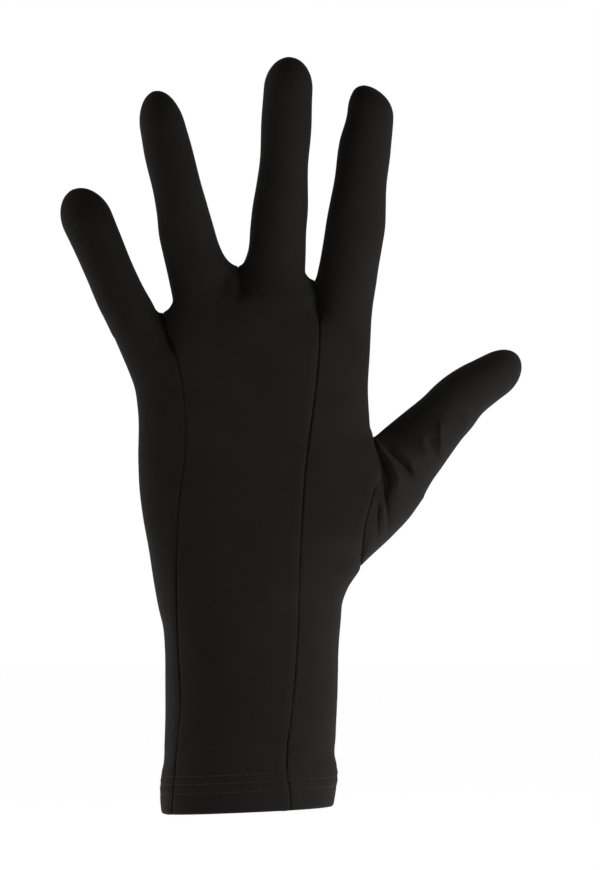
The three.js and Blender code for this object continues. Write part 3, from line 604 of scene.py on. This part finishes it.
RING = dict(length=74.4, width=17.6, depth=15.6, lean=-12, bend=9, cap=0.815, outline=np.array([
    (0, -0.59, 0.85, 1.12), (0.06, -0.59, 0.73, 1.1), (0.1, -0.592, 0.665, 1.08),
    (0.2, -0.603, 0.567, 1.05), (0.3, -0.603, 0.536, 1.03), (0.4, -0.556, 0.5, 1.02),
    (0.5, -0.54, 0.459, 1), (0.7, -0.572, 0.433, 0.98), (0.85, -0.541, 0.395, 0.95),
    (1, -0.53, 0.38, 0.9),
]))
MIDDLE = dict(length=78.8, width=18.2, depth=16.2, lean=3.6, bend=7, cap=0.85, outline=np.array([
    (0, -0.686, 0.574, 1.12), (0.1, -0.591, 0.57, 1.08), (0.2, -0.579, 0.559, 1.05),
    (0.3, -0.556, 0.561, 1.03), (0.4, -0.509, 0.532, 1.02), (0.5, -0.475, 0.504, 1),
    (0.7, -0.486, 0.52, 0.98), (0.85, -0.474, 0.494, 0.95), (1, -0.476, 0.494, 0.9),
]))
ring_half, middle_half = lay_knit(
    [finger_half(RING, 1, BACK, (True, False)), finger_half(MIDDLE, 2, BACK, (False, True))], 1)
back_panel = cloth_wall("back_panel_cloth", [ring_half, middle_half], BACK_CREASES)
fit(back_panel, jersey("middle panel jersey"), "back_panel")

# Index-finger panel
#
# The side of the back below the index finger, cut with the back of that finger, overlocked to
# the middle panel and, along its outer edge, to the thumb piece and the palm.
INDEX = dict(length=72.9, width=19, depth=16.2, lean=6.7, bend=6, cap=0.86, outline=np.array([
    (0, -0.564, 0.588, 1.12), (0.1, -0.535, 0.594, 1.08), (0.2, -0.521, 0.618, 1.05),
    (0.3, -0.506, 0.631, 1.03), (0.4, -0.478, 0.605, 1.02), (0.5, -0.449, 0.576, 1),
    (0.7, -0.438, 0.568, 0.98), (0.88, -0.349, 0.546, 0.95), (0.95, -0.404, 0.486, 0.93),
    (1, -0.494, 0.406, 0.9),
]))
index_half = knit_from_middle(finger_half(INDEX, 3, BACK))
index_panel = cloth_wall("index_panel_cloth", [index_half], BACK_CREASES)
fit(index_panel, jersey("index panel jersey"), "index_panel")

# Palm panel
#
# The whole palm with the fronts of the four fingers, one cut of the same jersey, overlocked to
# the back panels along the outline and round every fingertip.
palm_halves = lay_knit([
    finger_half(LITTLE, 0, FRONT, (True, False)), finger_half(RING, 1, FRONT, (False, False)),
    finger_half(MIDDLE, 2, FRONT, (False, False)), finger_half(INDEX, 3, FRONT, (False, True)),
], 2)
palm_panel = cloth_wall("palm_panel_cloth", palm_halves)
fit(palm_panel, jersey("palm jersey"), "palm_panel")

# Thumb piece
#
# The thumb and its gusset, one closed tube of jersey set in between index panel and palm. It
# bunches in soft folds where it leaves the hand, because the thumb stands well away from it.
THUMB = dict(length=60, width=20.5, depth=19, lean=49.1, bend=6, cap=0.79, outline=np.array([
    (0, -0.675, 0.694, 1.3), (0.1, -0.672, 0.593, 1.22), (0.2, -0.663, 0.525, 1.14),
    (0.3, -0.657, 0.447, 1.08), (0.4, -0.652, 0.375, 1.04), (0.5, -0.664, 0.33, 1),
    (0.6, -0.652, 0.268, 0.98), (0.7, -0.61, 0.272, 0.95), (0.82, -0.525, 0.288, 0.9),
    (1, -0.51, 0.29, 0.84),
]))
THUMB_SET = 7  # how far the thumb stands out of the hand's plane, towards the palm
THUMB_WEB = 0.8  # how much the web beside the seam is thinned
THUMB_BALL = 1.1  # fullness of the thumb's front
THUMB_FOOT = 0.08  # share of the seam by which the inner sheet starts further up
THUMB_NOTCH = 0.688  # share of the palm's length where the seam ends at the notch
THUMB_TUCK = 0.9  # how far the piece reaches in under the hand's edge at both ends of its seam
# The piece's lower edge, from the foot of its seam to the thumb: share of the way, place across
# as a share of half the palm's width, and up as a share of its length.
THUMB_HEEL = np.array([
    (0, 0.974, 0.45), (0.25, 1.12, 0.48), (0.5, 1.25, 0.507), (0.75, 1.388, 0.537), (1, 1.51, 0.5756),
])
THUMB_ROWS, THUMB_COLUMNS = 96, 64
THUMB_SEAM_FADE = 25  # rows over which the seam's groove dies out along the thumb
FOLD_STAND = 3  # how far off its plane the cloth stands where the folds are full
# Folds of the bunched root and lesser ones along the thumb, set down like the back's creases.
THUMB_FOLDS = (
    (((47.7, 131.6), (51.1, 127.6), (53.5, 123.7), (54.6, 119.7), (54.7, 114.6)), 2.6, 1.4, 1.3),
    (((47.8, 133.0), (52.2, 129.0), (56.3, 125.2), (61.4, 119.6)), 1.6, 1.8, -3.0),
    (((49.0, 134.0), (55.2, 130.2), (59.0, 126.4), (61.4, 120.0)), 3.0, 1.3, 1.3),
    (((46.6, 131.0), (49.2, 124.6), (50.8, 119.7), (51.4, 113.4)), 1.5, 2.4, -1.5),
    (((62.9, 136.4), (64.3, 130.6), (66.6, 125.9)), 1.4, 2.0, 0.9),
    (((64.6, 136.6), (67.4, 130.6), (70.1, 126.9)), 1.5, 1.2, -1.3),
    (((69.6, 143.7), (70.0, 134.4), (69.9, 126.4)), 2.6, 1.3, 1.5),
    (((79.8, 144.6), (79.2, 135.0)), 1.6, 2.0, 0.6),
    (((79.4, 143.6), (85.4, 143.4)), 0.7, 0.7, -0.5),
    (((48.7, 124.5), (49.4, 117.5), (50.1, 111.0), (50.8, 106.1), (51.1, 97.5)), 1.4, 1.6, -2.0),
    (((49.0, 113.5), (49.4, 106.1), (49.8, 98.4)), 0.8, 1.0, 0.9),
    (((47.5, 114.1), (47.1, 105.5), (47.3, 97.6)), 0.9, 1.6, -1.3),
)


def thumb_sheet(side, inset):
    """Rows of the thumb piece's half: from the foot of its seam each row spans seam and heel,
    with height the root of (seam depth fading out plus a bulge that grows with the row), then
    the thumb's own round section. Folds lift the back where the cloth stands off the plane."""
    notch_way = mix(SEAM_FOOT, 1, (THUMB_NOTCH - SEAM_FOOT) / (THUMB_SIDE[-1, 0] - SEAM_FOOT))

    def seam_at(share, inward):
        """A place of the seam: across, up, share of the palm's length, and the hand's depth."""
        x, up = line_at(len(LINES) - 1, mix(SEAM_FOOT, notch_way, share), 0.0)
        close = inward * silhouette(up)
        x, tuck = x + EDGE_GAP, THUMB_TUCK * silhouette(up)
        return x + close - tuck, height(x, up), up, hand_depth(side, x - close, up, inward)

    def heel_at(share, inward, seam_x):
        """A place of the lower edge, drawn in by the inset along the diagonal."""
        x = HALF_WIDTH * table_curve(THUMB_HEEL, 1, share) + EDGE_GAP
        z = PALM_LENGTH * table_curve(THUMB_HEEL, 2, share)
        drawn = np.minimum(inward, np.maximum(0, (x - seam_x) / 2)) * np.sqrt(0.5)
        return x - drawn, z + drawn

    def web(place, strength):
        """Thinning of a row towards the seam: 1 less a parabola of the place."""
        return 1 - THUMB_WEB * strength * ((1 - place) / 2) ** 2

    def lay(x, z, plane, tall):
        """Points of the sheet, with the back's folds."""
        points = np.stack([x, plane + side * tall, z], axis=2)
        if side == BACK:
            fold = crease_lift(points.reshape(-1, 3), THUMB_FOLDS).reshape(x.shape)
            points[:, :, 1] -= fold * np.clip((tall - CLOTH) / FOLD_STAND, 0, 1)
        return points

    share = mix(THUMB_FOOT * inset, 1, np.linspace(0, 1, THUMB_ROWS + 1))
    ax, az, aup, adeep = seam_at(share, inset)
    bx, bz = heel_at(share, inset, ax)
    place = spread(THUMB_COLUMNS, ease(share), 1.0, (True, False))
    part, s = (place + 1) / 2, share[:, None]
    full = THUMB["depth"] * THUMB["outline"][0, 3] / 2 * (1 if side == BACK else THUMB_BALL) - inset
    bulge = full**2 * s * (1 - place**2) * web(place, 1)
    tall = np.sqrt(np.maximum(0, adeep[:, None] ** 2 * (1 - part) + bulge))
    plane = hand_plane(aup)[:, None] + THUMB_SET * s * ease(part)
    x, z = mix(ax[:, None], bx[:, None], part), mix(az[:, None], bz[:, None], part)
    x[0], z[0], plane[0], tall[0] = (ax[0] + bx[0]) / 2, (az[0] + bz[0]) / 2, hand_plane(aup[0]), 0
    root_rows = lay(x, z, plane, tall)

    one = np.array([1.0])
    tops = [np.array([seam_at(one, i)[:2], heel_at(one, i, seam_at(one, i)[0])])[:, :, 0]
            for i in (0.0, inset)]
    root = (tops[1][0], tops[1][1], tops[0].mean(axis=0))
    along = finger_ways(THUMB)
    left, right, depth, turned, bend = finger_edges(THUMB, root, along, inset)
    place = spread(THUMB_COLUMNS, 1.0, 1.0, (True, False))
    part, blend = (place + 1) / 2, ease(along * 2)[:, None]  # web and ball end halfway along
    flat = mix(left[:, None, :], right[:, None, :], part[:, :, None])
    fullness = 1 if side == BACK else mix(THUMB_BALL, 1, blend)
    tall = depth[:, None] * fullness * np.sqrt(np.maximum(0, (1 - place**2) * web(place, 1 - blend)))
    seam_plane = hand_plane(seam_at(one, 0.0)[2])
    plane = seam_plane + THUMB_SET * mix(ease(part), 1, turned[:, None]) + bend[:, None]
    return np.concatenate([root_rows, lay(flat[:, :, 0], flat[:, :, 1], plane, tall)])


def arc_along(points):
    """Distance along a line of points from its first point."""
    return np.concatenate([[0], np.cumsum(np.linalg.norm(np.diff(points, axis=0), axis=1))])


thumb_halves = []
for side in (BACK, FRONT):
    outer = thumb_sheet(side, 0.0)
    across, v = arc_across(outer), arc_along(outer[:, THUMB_COLUMNS // 2])
    knit = [(across - across[:, -1:]) * -side, np.repeat(v[:, None], across.shape[1], axis=1)]
    fade = 1 - ease(np.arange(1, len(outer) - THUMB_ROWS) / THUMB_SEAM_FADE)
    seamed = np.concatenate([np.ones(THUMB_ROWS + 1), fade])[:, None]
    thumb_halves.append(dict(
        outer=outer, inner=thumb_sheet(side, CLOTH), side=side, uv=np.stack(knit, axis=2),
        seam=seamed * np.exp(-((across / SEAM_WIDTH) ** 2))))
thumb = cloth_wall("thumb_cloth", thumb_halves, press=(0, 1, 0))
fit(thumb, jersey("thumb jersey"), "thumb")

# Hem
#
# The turned part of the hem: the cloth goes on from the fold at the wrist's edge and up inside,
# with a free top edge that three rows of stitches hold down.
HEM_HEIGHT, HEM_STEPS = 14.5, 260
EDGE_ROUND, EDGE_CORNER = 0.2, 0.05  # of the free top edge
# Steps of the profile: round the fold, up the inside, and down between the layers.
QUARTER_STEPS, WALL_STEPS, BETWEEN_STEPS = 8, 24, 12
FOLD_END = (0.02, -0.15)  # last point of the profile, from the middle of the fold


def cuff_point(turn, inset, up_mm):
    """A point of the cuff: its superellipse section drawn in by the inset, at a height above the
    hem's edge; cosine and sine of the turn are raised to 2/n."""
    up = up_mm / PALM_LENGTH
    left = HALF_WIDTH * table_curve(LITTLE_SIDE, 1, up) + inset
    right = HALF_WIDTH * table_curve(THUMB_SIDE, 1, up) - inset
    side = np.where(np.sin(turn) < 0, BACK, FRONT)
    deep = np.where(side == BACK, table_curve(SECTIONS, 1, up), table_curve(SECTIONS, 2, up))
    across = np.sign(np.cos(turn)) * np.abs(np.cos(turn)) ** (2 / ROUNDNESS)
    x = (left + right) / 2 + across * (right - left) / 2
    y = side * (PALM_DEPTH * deep - inset) * np.abs(np.sin(turn)) ** (2 / ROUNDNESS)
    return np.stack(np.broadcast_arrays(x, y, height(x, up)), axis=-1)


quarter = np.linspace(np.pi / 2, np.pi, QUARTER_STEPS)
inside = 2 * FOLD_RADIUS
wall_up = np.linspace(FOLD_RADIUS, HEM_HEIGHT - EDGE_ROUND, WALL_STEPS + 2)[1:-1]
wall_down = np.linspace(HEM_HEIGHT - 2 * EDGE_ROUND, FOLD_RADIUS, BETWEEN_STEPS)
# Inset from the outside and height: round the fold, up the inside, over the free edge and back.
profile = np.concatenate([
    np.stack([FOLD_RADIUS * (1 - np.cos(quarter)), FOLD_RADIUS * (1 - np.sin(quarter))], 1),
    np.stack([np.full(WALL_STEPS, inside), wall_up], 1),
    [(inside - EDGE_CORNER, HEM_HEIGHT), (inside - CLOTH / 2, HEM_HEIGHT + EDGE_ROUND),
     (inside - CLOTH + EDGE_CORNER, HEM_HEIGHT)],
    np.stack([np.full(BETWEEN_STEPS, inside - CLOTH), wall_down], 1),
    [(FOLD_RADIUS + FOLD_END[0], FOLD_RADIUS + FOLD_END[1])],
])
turns = np.linspace(0, 2 * np.pi, HEM_STEPS, endpoint=False)


def wrap_grid(rows, columns):
    """Triangles of a grid that closes on itself both ways, like a ring's skin."""
    ids = np.arange(rows * columns).reshape(rows, columns)
    up, right = np.roll(ids, -1, 0), np.roll(ids, -1, 1)
    return split_fields(ids, right, np.roll(up, -1, 1), up)


pressed = profile[:, 0] - stitch_press(profile[:, 1]) * np.isclose(profile[:, 0], inside)
hem_points = cuff_point(turns[:, None], pressed[None, :], profile[None, :, 1])
hem_faces = wrap_grid(*hem_points.shape[:2])
round_cuff, along_profile = arc_along(hem_points[:, 0])[:, None], arc_along(profile)[None, :]
hem_uv = np.stack(np.broadcast_arrays(round_cuff, along_profile), 2).reshape(-1, 2)
cuff_hem = put_mesh("cuff_hem_cloth", hem_points.reshape(-1, 3), hem_faces, hem_uv[hem_faces.ravel()])
fit(cuff_hem, jersey("hem jersey"), "cuff_hem")

# Hem stitching
#
# Coverstitch in black sewing thread: three rows of short stitches outside, and on the inside a
# looper thread that crosses from row to row over the hem's free edge.
STITCH_PITCH, STITCH_LENGTH, THREAD = 1.5, 1.0, 0.16
STITCH_RISE, STITCH_DIP = 0.09, 0.16  # of the thread's middle out of the cloth, and of its ends in
STITCH_SIDES, STITCH_RINGS = 6, 5
# Tones of the thread's twist: painted shade in its grooves and a painted highlight on its ridges, which
# also makes the stitches stand out brighter than the cloth.
THREAD_GROOVE_PAINTED_SHADE, THREAD_RIDGE_PAINTED_HIGHLIGHT = (0.007, 0.0065, 0.006, 1), (0.024, 0.022, 0.020, 1)


def sewing_thread(name, roughness=0.5, specular=0.13):
    """Black thread with a soft gloss and a fine twist: a slanted wave over object space paints a
    highlight on the twist's ridges and shade in its grooves.
    """
    material, shader = plain_material(name, {"Roughness": roughness, "Specular IOR Level": specular})
    tree = material.node_tree
    wave = tree.nodes.new("ShaderNodeTexWave")
    wave.bands_direction = "DIAGONAL"
    wave.inputs["Scale"].default_value = 2200
    tree.links.new(tree.nodes.new("ShaderNodeTexCoord").outputs["Object"], wave.inputs["Vector"])
    mix_base_tones(tree, shader, wave.outputs["Fac"], THREAD_GROOVE_PAINTED_SHADE, THREAD_RIDGE_PAINTED_HIGHLIGHT)
    return material


FINE_TURNS = 4001  # places between which the chords run


def even_turns(level, inset, count):
    """Turns that part the cuff's section at a level into equal lengths, from its summed chords."""
    fine = np.linspace(0, 2 * np.pi, FINE_TURNS)
    length = arc_along(cuff_point(fine, inset, level))
    return np.interp(np.arange(count) / count * length[-1], length, fine), length[-1]


def capped_tube(rings, sides):
    """Triangles of a tube's skin with its two ends drawn to points, the last two point numbers."""
    ids = np.arange(rings * sides).reshape(rings, sides)
    right = np.roll(ids, -1, 1)
    first, last = np.full(sides, ids.size), np.full(sides, ids.size + 1)
    return np.concatenate([
        split_fields(ids[:-1], right[:-1], right[1:], ids[1:]),
        np.stack([first, right[0], ids[0]], 1), np.stack([last, ids[-1], right[-1]], 1)])


def circles(across, up, sides):
    """Unit circles, each spanned by two directions: one times the cosine, the other the sine."""
    turn = (np.arange(sides) / sides * 2 * np.pi)[None, :, None]
    return across[:, None] * np.cos(turn) + up[:, None] * np.sin(turn)


def thread_skin(path, radius, sides, closed=False):
    """A round profile carried along a path: circles across the path's direction, drawn to a point
    at both ends unless it is closed. Gives points and triangles."""
    ahead, behind = np.roll(path, -1, 0), np.roll(path, 1, 0)
    if not closed:
        ahead[-1], behind[0] = path[-1], path[0]
    along = unit(ahead - behind)
    side = unit(np.cross(along, (0.0, 1.0, 0.0)) + 1e-6)
    skin = path[:, None] + radius * circles(side, np.cross(along, side), sides)
    if closed:
        return skin.reshape(-1, 3), wrap_grid(len(path), sides)[:, ::-1]
    points = np.concatenate([skin[1:-1].reshape(-1, 3), path[[0, -1]]])
    return points, capped_tube(len(path) - 2, sides)[:, [0, 2, 1]]


def stitch_row(level):
    """Stitches round the cuff at one level: each is a thread of round section whose ends dip into
    the cloth, by the square of the place along it. Gives points and triangles."""
    count = int(round(even_turns(level, 0.0, 1)[1] / STITCH_PITCH))
    turns = even_turns(level, 0.0, count)[0] + 1e-3  # off the section's poles
    centre = cuff_point(turns, 0.0, level)
    # Directions along the row and out of the cloth, from places close by.
    along = unit(cuff_point(turns + 0.01, 0.0, level) - cuff_point(turns - 0.01, 0.0, level))
    out = unit(np.cross(along, cuff_point(turns, 0.0, level + 0.5) - centre))
    s = np.linspace(-1, 1, STITCH_RINGS + 2)
    thick = THREAD * np.sqrt(1 - np.abs(s) ** 3)
    spine = (centre[:, None] + along[:, None] * (s * STITCH_LENGTH / 2)[None, :, None]
             + out[:, None] * (STITCH_RISE - STITCH_PRESS - STITCH_DIP * s * s)[None, :, None])
    ring = circles(out, np.cross(out, along), STITCH_SIDES)
    body = spine[:, 1:-1, None] + thick[None, 1:-1, None, None] * ring[:, None]
    points = np.concatenate([body.reshape(count, -1, 3), spine[:, [0, -1]]], axis=1)
    one = capped_tube(STITCH_RINGS, STITCH_SIDES)
    faces = (one[None] + np.arange(count)[:, None, None] * points.shape[1]).reshape(-1, 3)
    return points.reshape(-1, 3), faces


def gather(made):
    """Several sets of points and triangles as one set."""
    firsts = np.cumsum([0] + [len(points) for points, _ in made])
    return (np.concatenate([points for points, _ in made]),
            np.concatenate([faces + first for (_, faces), first in zip(made, firsts)]))


hem_stitches = put_mesh("hem_stitches", *gather([stitch_row(level) for level in STITCH_ROWS]))
fit(hem_stitches, sewing_thread("hem thread"))

LOOPER_STEPS = 4  # from the lowest stitch row to the highest
LOOPER_OVER = 0.9  # how far above the top stitch row the thread turns back
LOOPER_THREAD, LOOPER_SIDES, LOOPER_OFF = THREAD * 0.9, 5, 0.1  # radius, sides, place off the cloth
looper_count = 2 * int(round(even_turns(STITCH_ROWS[1], inside, 1)[1] / STITCH_PITCH / 2))
looper_turns = even_turns(STITCH_ROWS[1], inside, looper_count * LOOPER_STEPS)[0]
looper_step = np.arange(looper_count * LOOPER_STEPS) % (2 * LOOPER_STEPS)
swing = np.abs(looper_step - LOOPER_STEPS) / LOOPER_STEPS
looper_level = mix(STITCH_ROWS[0], STITCH_ROWS[-1] + LOOPER_OVER, ease(swing))
looper_inset = inside - stitch_press(looper_level) + LOOPER_OFF
looper_path = cuff_point(looper_turns, looper_inset, looper_level)
hem_looper = put_mesh("hem_looper", *thread_skin(looper_path, LOOPER_THREAD, LOOPER_SIDES, closed=True))
fit(hem_looper, sewing_thread("looper thread"))

# Seam allowances
#
# The overlocked edges inside every seam: a rounded rib of cloth and thread that follows the seam,
# along the two seams of the back, round the outline and fingers, and round the thumb's root.
RIB, RIB_SIDES, RIB_SUNK, RIB_STEP = 0.75, 8, 0.6, 0.7  # radius, sides, depth under the cloth, step
RIB_FOOT = 1.6  # how far the ribs reach down behind the hem's free edge
RIB_PAST = 0.02  # share of the palm's length by which the thumb's rib goes on past its seam


def sunk_edge(half, rows, column, creases=()):
    """A half's edge below the cloth: its inner sheet's column, moved on along the wall's depth,
    and sunk with the cloth at the creases."""
    inner, outer = half["inner"][rows, column], half["outer"][rows, column]
    edge = inner + unit(inner - outer) * RIB_SUNK
    edge[:, 1] -= crease_lift(outer, creases)
    return edge


def rib_path(pieces):
    """One even path through several runs of seam points, by length along it, slightly smoothed."""
    points = np.concatenate(pieces)
    length = arc_along(points)
    even = np.arange(0, length[-1], RIB_STEP)
    path = np.stack([np.interp(even, length, points[:, k]) for k in range(3)], axis=1)
    padded = np.concatenate([path[:1], path, path[-1:]])
    return (padded[:-2] + 2 * padded[1:-1] + padded[2:]) / 4


above_hem = int(np.argmax(little_half["inner"][:, 0, 2] > HEM_HEIGHT - RIB_FOOT))
top = little_half["hand_rows"]
hand, fingers = slice(above_hem, top), slice(top, None)
outline = [sunk_edge(little_half, hand, 0)]
for half in (little_half, ring_half, middle_half, index_half):
    outline += [sunk_edge(half, fingers, 0), sunk_edge(half, fingers, -1)[::-1]]
outline.append(sunk_edge(index_half, hand, -1)[::-1])
edge_way = index_half["v"][:, -1] / PALM_LENGTH
thumb_rows = slice(int(np.argmax(edge_way > SEAM_FOOT - RIB_PAST)),
                   int(np.argmax(edge_way > THUMB_NOTCH + RIB_PAST)))
ribs = [rib_path(outline), rib_path([sunk_edge(palm_halves[3], thumb_rows, -1)])]
ribs += [rib_path([sunk_edge(half, hand, 0, BACK_CREASES)]) for half in (ring_half, index_half)]
seam_ribs = put_mesh("seam_allowances", *gather([thread_skin(path, RIB, RIB_SIDES) for path in ribs]))
fit(seam_ribs, sewing_thread("overlock thread", 0.9, 0.03))

# Floor, light and camera
#
# A plain white floor under the glove, an even white sky, a large soft light from the front right
# and a weak one from the left, and a long lens square on to the back of the hand.
FLOOR_HALF, FLOOR_LEVEL = 6, -0.12
floor_mesh = bpy.data.meshes.new("floor")
floor_mesh.from_pydata([(x * FLOOR_HALF, y * FLOOR_HALF, FLOOR_LEVEL)
                        for x, y in ((-1, -1), (1, -1), (1, 1), (-1, 1))], [], [(0, 1, 2, 3)])
floor_mesh.materials.append(plain_material("floor white", {
    "Base Color": (0.93, 0.93, 0.93, 1), "Roughness": 0.9,
    "Emission Color": (1, 1, 1, 1), "Emission Strength": 0.72})[0])
place_object("floor", floor_mesh)

world = bpy.data.worlds.new("white sky")
bpy.context.scene.world = world
world.use_nodes = True
sky = world.node_tree.nodes["Background"]
sky.inputs["Color"].default_value = (1, 1, 1, 1)
SEEN, LIGHTING = 1.0, 0.285  # strength of the white sky behind the glove, and of its light on it
seen = world.node_tree.nodes.new("ShaderNodeLightPath").outputs["Is Camera Ray"]
strength = maths(world.node_tree, "MULTIPLY_ADD", seen, SEEN - LIGHTING, LIGHTING)
world.node_tree.links.new(strength, sky.inputs["Strength"])

LIGHT_AIM = (0.02, 0, 0.13)
for name, place, size, power in (
    ("soft light right", (0.52, -0.26, 0.06), 0.42, 6.4), ("soft light left", (-1.3, 0.3, 0.35), 0.8, 14),
):
    lamp = bpy.data.lights.new(name, "AREA")
    lamp.size, lamp.energy = size, power
    light = place_object(name, lamp)
    back = np.subtract(place, LIGHT_AIM)
    flat = np.hypot(back[0], back[1])
    light.location = place
    light.rotation_euler = (np.arctan2(flat, back[2]), 0, np.arctan2(back[0], -back[1]))
    light.visible_camera = False

FRAME_HEIGHT, VIEW_DISTANCE = 0.31555, 3.0  # what the frame takes in, and from where
SENSOR = 36
lens = bpy.data.cameras.new("camera")
lens.sensor_width = SENSOR
lens.lens = SENSOR * VIEW_DISTANCE / FRAME_HEIGHT
lens.clip_start, lens.clip_end = 0.1, 50
camera = place_object("camera", lens)
camera.location = (0.01904, -VIEW_DISTANCE, 0.13601)
camera.rotation_euler = (np.pi / 2, 0, 0)
bpy.context.scene.camera = camera
bpy.context.scene.view_settings.view_transform = "Standard"
